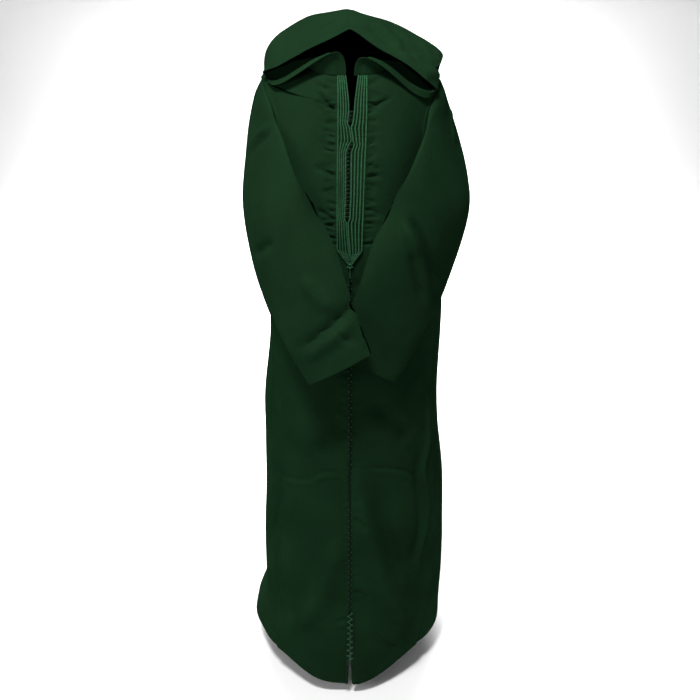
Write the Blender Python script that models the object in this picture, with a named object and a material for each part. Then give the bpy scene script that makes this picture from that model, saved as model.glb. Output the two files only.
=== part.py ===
"""A hooded thobe in the gandora cut: filled out as if worn, sleeves crossed in front, hood let down.

Metres, +Z up. The origin is where the shoulders hold the garment, level with the high shoulder point and on
the body's middle axis. The front faces -Y, and the wearer's right is at -X. Heights on the garment are given
as drops below the origin.
"""

import math

import bpy
from mathutils import Vector

# ---- cloth and seams
WALL = 0.002  # the cloth with its turnings, as one stiff wall
SEAM = 0.0003  # left open between two pieces that are sewn together

# ---- lengths
LENGTH = 1.42  # shoulder point to hem, at the side
FRONT_LENGTH = 1.468  # the hem dips at the centre front
BACK_LENGTH = 1.44
NECK_FRONT_DROP = 0.035
SHOULDER_TIP_DROP = 0.045
ARMHOLE_DEPTH = 0.205
UNDERARM_SHARE = 0.946  # how far down the armhole, as a cosine, the front and back give way to the gore

# ---- front opening, braids and vent
NECK_OPENING = 0.0075  # half width of the opening at the neck
OPENING_GAP = 0.0035  # half width between the braided edges lower down
V_DROP = 0.095
PLACKET_DROP = 0.356
POINT_DROP = 0.388
BRAID_WIDTH = 0.024
BRAID_THICK = 0.0016
POINT_WIDTH = 0.003  # where the braids run to a point below the knots
KNOT_ROW_HALF = 0.0065
KNOT_ROW_THICK = 0.0042
CORD_HALF = 0.0028
CORD_THICK = 0.0014
VENT_DROP = 1.25
VENT_HALF_GAP = 0.010
VENT_BRAID_WIDTH = 0.008
LACING_DROP = 1.378

# Each level of the body: drop, half width on the wearer's right and left, depth in front and behind, and the
# power of the oval on the right and left, where 2 is an ellipse and more is squarer
BODY_LEVELS = (
    (0.000, 0.075, 0.075, 0.066, 0.060, 2.0, 2.0),
    (0.020, 0.125, 0.125, 0.083, 0.075, 2.0, 2.0),
    (0.045, 0.176, 0.179, 0.101, 0.092, 2.0, 2.0),
    (0.080, 0.187, 0.192, 0.116, 0.106, 2.05, 2.05),
    (0.150, 0.188, 0.195, 0.133, 0.119, 2.15, 2.15),
    (0.250, 0.186, 0.195, 0.150, 0.128, 2.2, 2.2),
    (0.400, 0.186, 0.200, 0.172, 0.132, 2.2, 2.2),
    (0.580, 0.187, 0.210, 0.190, 0.135, 2.2, 2.2),
    (0.790, 0.205, 0.216, 0.203, 0.140, 2.1, 2.1),
    (1.090, 0.222, 0.245, 0.225, 0.150, 2.0, 2.0),
    (1.300, 0.228, 0.252, 0.246, 0.162, 2.1, 1.85),
    (1.420, 0.261, 0.252, 0.258, 0.172, 2.1, 1.8),
    (1.480, 0.264, 0.252, 0.262, 0.175, 2.1, 1.8),
)

# Half the opening at the centre front: the V of the neck, the braided edges, the seam, and the vent
CENTRE_OPENING = (
    (NECK_FRONT_DROP, NECK_OPENING),
    (V_DROP, OPENING_GAP),
    (PLACKET_DROP, OPENING_GAP),
    (POINT_DROP, SEAM / 2),
    (VENT_DROP, SEAM / 2),
    (LACING_DROP, 0.0035),
    (FRONT_LENGTH, VENT_HALF_GAP),
)

# How far the armhole reaches round from the side, in degrees, and where the gore is sewn in below it, as the
# angle from the centre front or the centre back at each drop
ARMHOLE_REACH = {"front": 42.0, "back": 26.0}
GORE_SEAM = {
    "front": ((0.40, 70.0), (0.60, 66.0), (1.00, 62.0), (1.25, 57.0), (LENGTH, 46.0)),
    "back": ((0.40, 74.0), (0.60, 70.0), (1.00, 64.0), (1.25, 60.0), (LENGTH, 52.0)),
}

# Each sleeve is a tube drawn through four lines that run from its head to its cuff. The outer line starts from
# the shoulder tip, the inner one from under the arm, and the front and back ones lie between them.
SLEEVES = {
    "right": {
        "outer": (
            (-0.205, 0.000, -0.118),
            (-0.219, -0.014, -0.200),
            (-0.223, -0.060, -0.300),
            (-0.196, -0.118, -0.425),
            (-0.156, -0.180, -0.514),
            (-0.083, -0.246, -0.616),
        ),
        "front": (
            (-0.130, -0.122, -0.146),
            (-0.142, -0.146, -0.200),
            (-0.160, -0.172, -0.285),
            (-0.130, -0.200, -0.375),
            (-0.093, -0.228, -0.461),
            (-0.023, -0.266, -0.577),
        ),
        "inner": (
            (-0.126, -0.128, -0.242),
            (-0.088, -0.140, -0.240),
            (-0.060, -0.160, -0.288),
            (-0.034, -0.190, -0.342),
            (-0.008, -0.222, -0.416),
            (0.043, -0.252, -0.544),
        ),
        "back": (
            (-0.205, 0.010, -0.264),
            (-0.178, -0.035, -0.302),
            (-0.140, -0.080, -0.320),
            (-0.105, -0.140, -0.384),
            (-0.072, -0.188, -0.469),
            (-0.017, -0.241, -0.583),
        ),
    },
    "left": {
        "outer": (
            (0.214, 0.000, -0.118),
            (0.241, -0.014, -0.205),
            (0.250, -0.056, -0.285),
            (0.217, -0.100, -0.405),
            (0.172, -0.150, -0.515),
            (0.093, -0.206, -0.630),
        ),
        "front": (
            (0.142, -0.120, -0.146),
            (0.152, -0.146, -0.202),
            (0.180, -0.165, -0.285),
            (0.148, -0.180, -0.372),
            (0.105, -0.196, -0.464),
            (0.032, -0.226, -0.592),
        ),
        "inner": (
            (0.136, -0.128, -0.242),
            (0.098, -0.138, -0.240),
            (0.070, -0.158, -0.284),
            (0.046, -0.182, -0.338),
            (0.018, -0.202, -0.425),
            (-0.034, -0.217, -0.558),
        ),
        "back": (
            (0.213, 0.010, -0.264),
            (0.190, -0.035, -0.302),
            (0.155, -0.080, -0.320),
            (0.122, -0.128, -0.380),
            (0.088, -0.160, -0.470),
            (0.028, -0.201, -0.596),
        ),
    },
}

# The hood lies over the shoulders as two flattened lobes. Each lobe's outer fold runs from the corner of the
# face opening, over the shoulder's end, down the back to the hood's tip.
LOBE_FOLD = {
    "right": (
        (-0.168, -0.040, -0.036),
        (-0.171, 0.022, -0.012),
        (-0.150, 0.088, -0.058),
        (-0.085, 0.142, -0.150),
        (0.0, 0.156, -0.205),
    ),
    "left": (
        (0.158, -0.055, -0.068),
        (0.187, 0.016, -0.004),
        (0.158, 0.088, -0.055),
        (0.085, 0.142, -0.150),
        (0.0, 0.156, -0.205),
    ),
}
# The seam down the middle of the hood, from the forehead edge over the top to the tip
HOOD_RIDGE = (
    (0.0, -0.030, 0.044),
    (0.0, 0.040, 0.080),
    (0.0, 0.110, 0.050),
    (0.0, 0.166, -0.070),
    (0.0, 0.172, -0.218),
)
# Handles that shape each lobe from neck seam to ridge, from the face edge back to the tip: how the cloth
# stands up at the neck, comes into the fold from below, leaves it above, and comes into the ridge
LOBE_HANDLES = {
    "right": (
        ((0.004, -0.006, 0.125), (0.022, -0.086, -0.074), (0.052, -0.035, 0.024), (-0.058, -0.050, -0.024)),
        ((-0.024, 0.000, 0.010), (0.020, 0.000, -0.012), (-0.002, 0.002, 0.047), (-0.080, 0.000, 0.000)),
        ((-0.020, 0.014, 0.012), (0.014, 0.006, -0.014), (-0.008, 0.022, 0.040), (-0.070, 0.000, 0.000)),
        ((-0.006, 0.022, 0.020), (0.012, -0.004, 0.012), (-0.014, 0.022, 0.020), (-0.060, 0.000, 0.004)),
        ((0.0, 0.030, 0.010), (0.0, -0.006, 0.060), (0.0, 0.006, -0.006), (0.0, -0.006, -0.002)),
    ),
    "left": (
        ((-0.002, -0.006, 0.105), (-0.010, -0.072, -0.050), (-0.050, -0.020, 0.030), (0.055, -0.050, -0.030)),
        ((0.024, 0.000, 0.010), (-0.020, 0.000, -0.012), (0.000, 0.000, 0.018), (0.070, 0.000, -0.014)),
        ((0.020, 0.014, 0.012), (-0.014, 0.006, -0.014), (0.006, 0.018, 0.026), (0.065, 0.000, -0.006)),
        ((0.006, 0.022, 0.020), (-0.012, -0.004, 0.012), (0.014, 0.022, 0.020), (0.060, 0.000, 0.004)),
        ((0.0, 0.030, 0.010), (0.0, -0.006, 0.060), (0.0, 0.006, -0.006), (0.0, -0.006, -0.002)),
    ),
}

# How far the hood and the sleeves stand off the body, past the gap at their seams, and how many facets in
SEWN_GAP = WALL + 4 * SEAM
HOOD_STANDS_OFF = 0.0055
HOOD_CLEAR_COLUMN = 2
LOBE_DEPTH = 0.007  # kept open between the lower and the upper cloth of a lobe
LOBE_OPENS_OVER = 1 / 3  # the share of the upper cloth over which that depth grows
SLEEVE_STANDS_OFF = 0.0045
UNDERARM_STANDS_OFF = 0.010  # more at the underarm, where the sleeve turns forward
PUSHES = 6  # at most, to move a point clear of the body

# ---- how finely the cloth is faceted
SHOULDER_ROWS = 3
ARMHOLE_ROWS = 8
ROWS_BELOW = (("placket", 2), ("point", 1), ("vent", 9), ("lacing", 2), ("hem", 1))
FRONT_COLUMNS = 8
BACK_COLUMNS = 14
GORE_COLUMNS = 6
SLEEVE_ROWS = 12
HOOD_ROWS = 16
HOOD_COLUMNS = 14

SIGN = {"right": -1, "left": 1}
CLOTH = (0.010, 0.034, 0.017, 1.0)
BRAID = (0.022, 0.085, 0.036, 1.0)


# ---- curves
def profile(rows, place):
    """Values at a place on smooth curves through rows of (place, value, ...), with no overshoot."""
    if place <= rows[0][0]:
        return rows[0][1:]
    if place >= rows[-1][0]:
        return rows[-1][1:]
    i = max(k for k in range(len(rows) - 1) if rows[k][0] <= place)
    width = rows[i + 1][0] - rows[i][0]
    t = (place - rows[i][0]) / width

    def slope(k, c):
        low, high = max(k - 1, 0), min(k + 1, len(rows) - 1)
        if low == k or high == k:
            return (rows[high][c] - rows[low][c]) / (rows[high][0] - rows[low][0])
        before = (rows[k][c] - rows[low][c]) / (rows[k][0] - rows[low][0])
        after = (rows[high][c] - rows[k][c]) / (rows[high][0] - rows[k][0])
        return 0.0 if before * after <= 0 else 2 * before * after / (before + after)

    values = []
    for c in range(1, len(rows[0])):
        low, high = rows[i][c], rows[i + 1][c]
        rise = width * slope(i, c), width * slope(i + 1, c)
        values.append(
            low * (2 * t**3 - 3 * t**2 + 1)
            + rise[0] * (t**3 - 2 * t**2 + t)
            + high * (3 * t**2 - 2 * t**3)
            + rise[1] * (t**3 - t**2)
        )
    return values


def through(points, share):
    """The vector at a share, 0 to 1, of a smooth curve through evenly numbered points."""
    last = len(points) - 1
    i = min(int(share * last), last - 1)
    t = share * last - i
    b, c = points[i], points[i + 1]
    a = points[i - 1] if i > 0 else b * 2 - c
    d = points[i + 2] if i + 2 <= last else c * 2 - b
    return b + (c - a) * (t / 2) + (a * 2 - b * 5 + c * 4 - d) * (t * t / 2) + (b * 3 - a - c * 3 + d) * (t**3 / 2)


def bezier(a, b, c, d, t):
    """The point at t on the curve from a to d with handles b and c."""
    s = 1 - t
    return a * s**3 + b * (3 * s * s * t) + c * (3 * s * t * t) + d * t**3


def ease(t):
    return t * t * (3 - 2 * t)


# ---- the body's form
def level(side, face, drop):
    """Half width, depth and power of a quarter of the body at a drop."""
    right, left, front, back, power_right, power_left = profile(BODY_LEVELS, drop)
    width, power = (right, power_right) if side == "right" else (left, power_left)
    return width, front if face == "front" else back, power


def body_point(side, face, angle, drop):
    """A point of the body's form: the angle in degrees runs from the centre front or back to the side."""
    width, depth, power = level(side, face, drop)
    turn = math.radians(angle)
    depth = -depth if face == "front" else depth
    x = width * math.sin(turn) ** (2 / power)
    y = depth * max(math.cos(turn), 0.0) ** (2 / power)
    return Vector((SIGN[side] * x, y, -drop))


def angle_at(side, drop, x):
    """The angle at which the body's form is x from the middle plane."""
    width, _, power = level(side, "front", drop)
    return math.degrees(math.asin(min(1.0, (x / width) ** (power / 2))))


def reach(point):
    """1 on the body's form, less inside it and more outside."""
    side = "right" if point.x < 0 else "left"
    face = "front" if point.y < 0 else "back"
    width, depth, power = level(side, face, -point.z)
    return ((abs(point.x) / width) ** power + (abs(point.y) / depth) ** power) ** (1 / power)


def clear_of_body(point, gap):
    """The point, moved square to the body's form until it stands off by the gap. Above the neck it stays."""
    tiny = 0.0005
    for _ in range(PUSHES):
        if point.z > 0:
            break
        here = reach(point)
        steps = (Vector((tiny, 0, 0)), Vector((0, tiny, 0)), Vector((0, 0, -tiny)))
        slope = Vector([(reach(point + step) - here) / tiny for step in steps])
        slope.z = -slope.z
        distance = (here - 1) / slope.length
        if distance >= gap:
            break
        point = point + slope.normalized() * (gap - distance)
    return point


# ---- the armhole and the rows that all the body's panels share
ARMHOLE_MIDDLE = SHOULDER_TIP_DROP + ARMHOLE_DEPTH / 2


def armhole(face, turn):
    """Angle and drop on the armhole's edge: turn runs from 0 at the shoulder tip to 180 at the underarm."""
    reach = ARMHOLE_REACH[face] * math.sin(math.radians(turn))
    return 90 - reach, ARMHOLE_MIDDLE - ARMHOLE_DEPTH / 2 * math.cos(math.radians(turn))


UNDERARM_TURN = 180 - math.degrees(math.acos(UNDERARM_SHARE))
ARMHOLE_TURNS = [UNDERARM_TURN * k / ARMHOLE_ROWS for k in range(ARMHOLE_ROWS + 1)]
UNDERARM_DROP = armhole("front", UNDERARM_TURN)[1]


def side_drops():
    """The drop of each row where it meets the shoulder seam, the armhole and then the gore."""
    drops = [SHOULDER_TIP_DROP * k / SHOULDER_ROWS for k in range(SHOULDER_ROWS)]
    drops += [armhole("front", turn)[1] for turn in ARMHOLE_TURNS]
    ends = {"placket": PLACKET_DROP, "point": POINT_DROP, "vent": VENT_DROP, "lacing": LACING_DROP}
    ends["hem"] = FRONT_LENGTH
    for end, count in ROWS_BELOW:
        low, high = drops[-1], (ends[end] - NECK_FRONT_DROP) * LENGTH / (FRONT_LENGTH - NECK_FRONT_DROP)
        drops += [low + (high - low) * k / count for k in range(1, count + 1)]
    return drops


SIDE_DROPS = side_drops()
FIRST_LOWER_ROW = SHOULDER_ROWS + ARMHOLE_ROWS


def edge_angle(face, row):
    """Where a front or back panel ends on this row: shoulder seam, armhole or gore seam."""
    if row < SHOULDER_ROWS:
        return 90.0
    if row <= FIRST_LOWER_ROW:
        return armhole(face, ARMHOLE_TURNS[row - SHOULDER_ROWS])[0]
    underarm = (UNDERARM_DROP, armhole(face, UNDERARM_TURN)[0])
    return profile((underarm, *GORE_SEAM[face]), SIDE_DROPS[row])[0]


def centre_drop(row, top, bottom):
    return top + SIDE_DROPS[row] * (bottom - top) / LENGTH


# ---- the cut pieces, each as rows of points through the middle of its wall
def front_grid(side):
    """Rows from neck to hem, each from the centre edge, past the braid's width, to the outer edge."""
    rows = []
    for row in range(len(SIDE_DROPS)):
        middle = centre_drop(row, NECK_FRONT_DROP, FRONT_LENGTH)
        gap = profile(CENTRE_OPENING, middle)[0]
        inner = angle_at(side, middle, gap)
        second = angle_at(side, middle, gap + BRAID_WIDTH)
        outer = edge_angle("front", row)
        angles = [inner]
        angles += [second + (outer - second) * k / (FRONT_COLUMNS - 1) for k in range(FRONT_COLUMNS)]
        line = []
        for angle in angles:
            share = ease((angle - inner) / (outer - inner))
            drop = middle + (SIDE_DROPS[row] - middle) * share
            line.append(body_point(side, "front", angle, drop))
        rows.append(line)
    return rows


def back_grid():
    """Rows from neck to hem, each from the wearer's right to the left."""
    rows = []
    for row in range(len(SIDE_DROPS)):
        middle = centre_drop(row, 0.0, BACK_LENGTH)
        edge = edge_angle("back", row)
        line = []
        for k in range(BACK_COLUMNS + 1):
            across = 2 * k / BACK_COLUMNS - 1
            side = "left" if across > 0 else "right"
            drop = middle + (SIDE_DROPS[row] - middle) * ease(abs(across))
            line.append(body_point(side, "back", edge * abs(across), drop))
        rows.append(line)
    return rows


def gore_line(side, row):
    """One row of a gore, round the side from the front panel's edge to the back panel's."""
    front, back = edge_angle("front", row), edge_angle("back", row)
    half = GORE_COLUMNS // 2
    places = [("front", front + (90 - front) * k / half) for k in range(half)]
    places += [("back", 90 - (90 - back) * k / half) for k in range(half + 1)]
    line = []
    for face, angle in places:
        drop = SIDE_DROPS[row]
        if row == FIRST_LOWER_ROW:
            share = min(1.0, (90 - angle) / ARMHOLE_REACH[face])
            drop = ARMHOLE_MIDDLE + ARMHOLE_DEPTH / 2 * math.sqrt(1 - share * share)
        line.append(body_point(side, face, angle, drop))
    return line


def gore_grid(side):
    return [gore_line(side, row) for row in range(FIRST_LOWER_ROW, len(SIDE_DROPS))]


def armhole_loop(side):
    """The armhole's edge, from the shoulder tip down the front, under the arm and up the back."""
    front = [body_point(side, "front", *armhole("front", turn)) for turn in ARMHOLE_TURNS]
    back = [body_point(side, "back", *armhole("back", turn)) for turn in ARMHOLE_TURNS]
    under = gore_line(side, FIRST_LOWER_ROW)[1:-1]
    return front + under + back[:0:-1]


def ring_turns():
    """The turn of each point of a sleeve's ring, once round from the shoulder tip by the front."""
    half = GORE_COLUMNS // 2
    under = [180 + (UNDERARM_TURN - 180) * (1 - k / half) for k in range(1, GORE_COLUMNS)]
    return ARMHOLE_TURNS + under + [360 - turn for turn in ARMHOLE_TURNS[:0:-1]]


def sleeve_ring(side, station):
    """The ring of a sleeve at a station of its four lines, point for point with the armhole's loop."""
    lines = SLEEVES[side]
    outer, front, inner, back = (Vector(lines[name][station]) for name in ("outer", "front", "inner", "back"))
    middle = (outer + inner) / 2
    ring = []
    for turn in ring_turns():
        angle = math.radians(turn)
        bulge = front - middle if turn < 180 else middle - back
        ring.append(middle + (outer - middle) * math.cos(angle) + bulge * math.sin(angle))
    return ring


def sleeve_grid(side, rows):
    """Rings from the armhole to the cuff."""
    loop = armhole_loop(side)
    rings = [loop] + [sleeve_ring(side, station) for station in range(len(SLEEVES[side]["outer"]))]
    grid = []
    for row in range(rows + 1):
        share = row / rows
        gap = SEWN_GAP + SLEEVE_STANDS_OFF * min(1.0, share * rows)
        line = []
        for k, turn in enumerate(ring_turns()):
            under = UNDERARM_STANDS_OFF * max(0.0, -math.cos(math.radians(turn)))
            line.append(clear_of_body(through([ring[k] for ring in rings], share), gap + under))
        grid.append(line)
    return grid


def neck_point(side, share):
    """A point of the neck edge, from the centre front round to the centre back."""
    if share <= 0.5:
        inner = angle_at(side, NECK_FRONT_DROP, NECK_OPENING)
        angle = inner + (90 - inner) * share * 2
        drop = NECK_FRONT_DROP * (1 - ease(share * 2))
        return body_point(side, "front", angle, drop)
    return body_point(side, "back", 180 * (1 - share), 0.0)


def hood_grid(side):
    """Lines from the face edge back to the tip, each from the neck seam round the fold to the ridge."""
    fold = [Vector(point) for point in LOBE_FOLD[side]]
    ridge = [Vector(point) for point in HOOD_RIDGE]
    handles = [[Vector(handle) for handle in line] for line in LOBE_HANDLES[side]]
    rows = []
    for row in range(HOOD_ROWS + 1):
        share = row / HOOD_ROWS
        neck = clear_of_body(neck_point(side, share), SEWN_GAP)
        rise, below, above, level = (through([line[k] for line in handles], share) for k in range(4))
        end, top = through(fold, share), through(ridge, share)
        line = []
        for column in range(HOOD_COLUMNS + 1):
            t = 2 * column / HOOD_COLUMNS
            if t <= 1:
                line.append(bezier(neck, neck + rise, end + below, end, t))
            else:
                line.append(bezier(end, end + above, top + level, top, t - 1))
            if 0 < column < HOOD_COLUMNS:
                stands_off = SEWN_GAP + HOOD_STANDS_OFF * min(1.0, column / HOOD_CLEAR_COLUMN)
                stands_off += LOBE_DEPTH * min(1.0, max(0.0, t - 1) / LOBE_OPENS_OVER)
                line[-1] = clear_of_body(line[-1], stands_off)
        rows.append(line)
    return rows


# ---- solids
def normals(grid, closed):
    """The unit normal at each point of a grid, whose lines are rings where it is closed."""
    rows, columns = len(grid), len(grid[0])
    found = []
    for r in range(rows):
        line = []
        for c in range(columns):
            down = grid[min(r + 1, rows - 1)][c] - grid[max(r - 1, 0)][c]
            if closed:
                across = grid[r][(c + 1) % columns] - grid[r][c - 1]
            else:
                across = grid[r][min(c + 1, columns - 1)] - grid[r][max(c - 1, 0)]
            line.append(down.cross(across).normalized())
        found.append(line)
    return found


def flatten_edge(facing, places):
    """Keep the normals at a middle seam in the middle plane, so that both halves meet squarely."""
    for r, c in places:
        normal = facing[r][c]
        facing[r][c] = Vector((0, normal.y, normal.z)).normalized()


def trimmed(grid, closed=False, sides=(1, 1, 1, 1)):
    """The grid with its top, bottom, first and last edges each drawn in by half a seam where sides says so."""
    rows, columns = len(grid), len(grid[0])
    result = [list(line) for line in grid]

    def draw_in(r, c, to_r, to_c):
        step = grid[to_r][to_c] - grid[r][c]
        if step.length > 0:
            result[r][c] = result[r][c] + step.normalized() * (SEAM / 2)

    for c in range(columns):
        if sides[0]:
            draw_in(0, c, 1, c)
        if sides[1]:
            draw_in(rows - 1, c, rows - 2, c)
    if not closed:
        for r in range(rows):
            if sides[2]:
                draw_in(r, 0, r, 1)
            if sides[3]:
                draw_in(r, columns - 1, r, columns - 2)
    return result


def wall(name, grid, facing, material, thick=WALL, lift=0.0, closed=False):
    """One closed thin wall, thick across the grid's points, lifted along their normals."""
    rows, columns = len(grid), len(grid[0])
    points = []
    for offset in (lift - thick / 2, lift + thick / 2):
        for line, line_facing in zip(grid, facing):
            points += [point + normal * offset for point, normal in zip(line, line_facing)]
    layer = rows * columns
    faces = []
    spans = columns if closed else columns - 1
    for r in range(rows - 1):
        for c in range(spans):
            a, b = r * columns + c, r * columns + (c + 1) % columns
            d, e = a + columns, b + columns
            faces.append((a, b, e, d))
            faces.append((a + layer, d + layer, e + layer, b + layer))
    for c in range(spans):
        n = (c + 1) % columns
        bottom = (rows - 1) * columns
        faces.append((c, c + layer, n + layer, n))
        faces.append((bottom + c, bottom + n, bottom + n + layer, bottom + c + layer))
    if not closed:
        for r in range(rows - 1):
            for c, flip in ((0, False), (columns - 1, True)):
                a, b = r * columns + c, (r + 1) * columns + c
                face = (a, b, b + layer, a + layer)
                faces.append(face[::-1] if flip else face)
    return solid(name, points, faces, material)


def solid(name, points, faces, material):
    """A mesh object of triangles whose faces look outward."""
    triangles = []
    for face in faces:
        triangles.append((face[0], face[1], face[2]))
        if len(face) == 4:
            triangles.append((face[0], face[2], face[3]))
    volume = sum(points[a].dot(points[b].cross(points[c])) for a, b, c in triangles)
    if volume < 0:
        triangles = [triangle[::-1] for triangle in triangles]
    mesh = bpy.data.meshes.new(name)
    mesh.from_pydata([tuple(point) for point in points], [], triangles)
    mesh.materials.append(material)
    mesh.shade_smooth()
    mesh.set_sharp_from_angle(angle=math.radians(50))
    thing = bpy.data.objects.new(name, mesh)
    bpy.context.scene.collection.objects.link(thing)
    return thing


def dyed(name, colour, roughness):
    """A plain Principled material."""
    material = bpy.data.materials.new(name)
    material.use_nodes = True
    shader = material.node_tree.nodes["Principled BSDF"]
    shader.inputs["Base Color"].default_value = colour
    shader.inputs["Roughness"].default_value = roughness
    shader.inputs["Metallic"].default_value = 0.0
    return material


# ---- what lies on the front panels, made from their points
def drop_rows(top, bottom):
    """The rows of the front panels whose centre lies between two drops."""
    drops = [centre_drop(row, NECK_FRONT_DROP, FRONT_LENGTH) for row in range(len(SIDE_DROPS))]
    return [row for row, drop in enumerate(drops) if top - 1e-6 <= drop <= bottom + 1e-6]


def strip_on_front(name, fronts, side, rows, start, stops, thick, lift, material):
    """A strip along the centre edge of a front panel, from start to stop metres in from that edge."""
    grid, facing = fronts[side]
    lines, line_facing = [], []
    for row, stop in zip(rows, stops):
        edge, inner = grid[row][0], grid[row][1]
        span = (inner - edge).length
        shares = (start / span, stop / span)
        lines.append([edge.lerp(inner, share) for share in shares])
        line_facing.append([facing[row][0].lerp(facing[row][1], share).normalized() for share in shares])
    return wall(name, trimmed(lines, sides=(1, 1, 0, 0)), line_facing, material, thick=thick, lift=lift)


def strip_across(name, fronts, rows, reach, thick, lift, material):
    """A strip over the centre front that rests on both front panels' edges."""
    lines, line_facing = [], []
    for row in rows:
        line, normal_line = [], []
        for side in ("right", "left"):
            grid, facing = fronts[side]
            edge, inner = grid[row][0], grid[row][1]
            share = reach / (inner - edge).length
            line.append(edge.lerp(inner, share))
            normal_line.append(facing[row][0].lerp(facing[row][1], share).normalized())
        line.insert(1, (line[0] + line[1]) / 2)
        normal_line.insert(1, (normal_line[0] + normal_line[1]).normalized())
        lines.append(line)
        line_facing.append(normal_line)
    return wall(name, trimmed(lines, sides=(1, 1, 0, 0)), line_facing, material, thick=thick, lift=lift)


def build():
    """Make every piece."""
    for old in list(bpy.data.objects):
        bpy.data.objects.remove(old)
    cloth = dyed("cloth", CLOTH, 0.75)
    braid = dyed("braid", BRAID, 0.6)

    fronts = {}
    for side in ("right", "left"):
        grid = front_grid(side)
        if side == "right":
            grid = [line[::-1] for line in grid]
        facing = normals(grid, False)
        if side == "right":
            grid, facing = [line[::-1] for line in grid], [line[::-1] for line in facing]
        flatten_edge(facing, [(row, 0) for row in range(len(grid))])
        if facing[0][0].y > 0:
            facing = [[-normal for normal in line] for line in facing]
        grid = trimmed(grid, sides=(1, 0, 0, 1))
        fronts[side] = (grid, facing)
        wall(f"front_{side}", grid, facing, cloth)

        gore = gore_grid(side)
        wall(f"gore_{side}", trimmed(gore, sides=(1, 0, 1, 1)), normals(gore, False), cloth)
        sleeve = sleeve_grid(side, SLEEVE_ROWS)
        wall(f"sleeve_{side}", sleeve, normals(sleeve, True), cloth, closed=True)
        hood = hood_grid(side)
        facing = normals(hood, False)
        last = len(hood) - 1
        flatten_edge(facing, [(row, HOOD_COLUMNS) for row in range(last + 1)])
        flatten_edge(facing, [(last, column) for column in range(HOOD_COLUMNS + 1)])
        wall(f"hood_{side}", trimmed(hood, sides=(0, 1, 0, 1)), facing, cloth)

    back = back_grid()
    wall("back", trimmed(back, sides=(1, 0, 1, 1)), normals(back, False), cloth)

    on_panel = WALL / 2 + SEAM + BRAID_THICK / 2
    placket = drop_rows(NECK_FRONT_DROP, POINT_DROP)
    closed_rows = drop_rows(V_DROP, PLACKET_DROP)
    vent = drop_rows(VENT_DROP, FRONT_LENGTH)
    pointed = [BRAID_WIDTH - SEAM] * (len(placket) - 1) + [POINT_WIDTH]
    straight = [VENT_BRAID_WIDTH] * len(vent)
    for side in ("right", "left"):
        name = f"placket_braid_{side}"
        strip_on_front(name, fronts, side, placket, SEAM, pointed, BRAID_THICK, on_panel, braid)
        name = f"vent_braid_{side}"
        strip_on_front(name, fronts, side, vent, SEAM, straight, BRAID_THICK, on_panel, braid)
    over_braid = WALL / 2 + SEAM + BRAID_THICK + SEAM + KNOT_ROW_THICK / 2
    strip_across("knot_row", fronts, closed_rows, KNOT_ROW_HALF - OPENING_GAP, KNOT_ROW_THICK, over_braid, braid)
    seam_rows = drop_rows(POINT_DROP, VENT_DROP)
    on_seam = WALL / 2 + SEAM + CORD_THICK / 2
    strip_across("seam_cord", fronts, seam_rows[1:], CORD_HALF, CORD_THICK, on_seam, braid)
    lacing_rows = drop_rows(VENT_DROP, LACING_DROP)
    over_vent = WALL / 2 + SEAM + BRAID_THICK + 3 * SEAM + CORD_THICK / 2
    strip_across("vent_lacing", fronts, lacing_rows, CORD_HALF, CORD_THICK, over_vent, braid)


build()
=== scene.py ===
"""The looks of the hooded thobe: each cut piece as thin cloth, with its folds, seams, braids and knots.

Metres, +Z up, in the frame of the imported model: -Y is the front and the wearer's right is at -X. The forms
are those that the solids were made from, drawn finer, so every piece lies where its solid is.
"""

import math
import random

import bpy
import numpy as np
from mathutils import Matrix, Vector, noise


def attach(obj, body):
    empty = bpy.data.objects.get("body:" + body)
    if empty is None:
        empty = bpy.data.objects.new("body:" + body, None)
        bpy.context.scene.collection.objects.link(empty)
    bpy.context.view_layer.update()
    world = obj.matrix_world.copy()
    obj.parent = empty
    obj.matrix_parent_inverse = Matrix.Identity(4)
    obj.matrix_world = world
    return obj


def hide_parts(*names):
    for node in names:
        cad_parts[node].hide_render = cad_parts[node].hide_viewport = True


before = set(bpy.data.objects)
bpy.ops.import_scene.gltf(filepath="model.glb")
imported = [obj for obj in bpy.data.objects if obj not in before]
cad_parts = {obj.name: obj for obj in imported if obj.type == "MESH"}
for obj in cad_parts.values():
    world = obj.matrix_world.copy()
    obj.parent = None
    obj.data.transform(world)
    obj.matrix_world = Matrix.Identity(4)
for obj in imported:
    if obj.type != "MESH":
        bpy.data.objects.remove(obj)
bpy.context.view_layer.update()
random.seed(7)

# ---- cloth and seams
WALL = 0.002  # the wall of the solids that the cloth stands for
SEAM = 0.0003  # left open between two pieces that are sewn together

# ---- lengths
LENGTH = 1.42  # shoulder point to hem, at the side
FRONT_LENGTH = 1.468  # the hem dips at the centre front
BACK_LENGTH = 1.44
NECK_FRONT_DROP = 0.035
SHOULDER_TIP_DROP = 0.045
ARMHOLE_DEPTH = 0.205
UNDERARM_SHARE = 0.946  # how far down the armhole, as a cosine, the front and back give way to the gore

# ---- front opening, braids and vent
NECK_OPENING = 0.0075  # half width of the opening at the neck
OPENING_GAP = 0.0045  # half width between the braided edges lower down
V_DROP = 0.095
PLACKET_DROP = 0.356
POINT_DROP = 0.388
BRAID_WIDTH = 0.024
VENT_DROP = 1.25
LACING_DROP = 1.378

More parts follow.
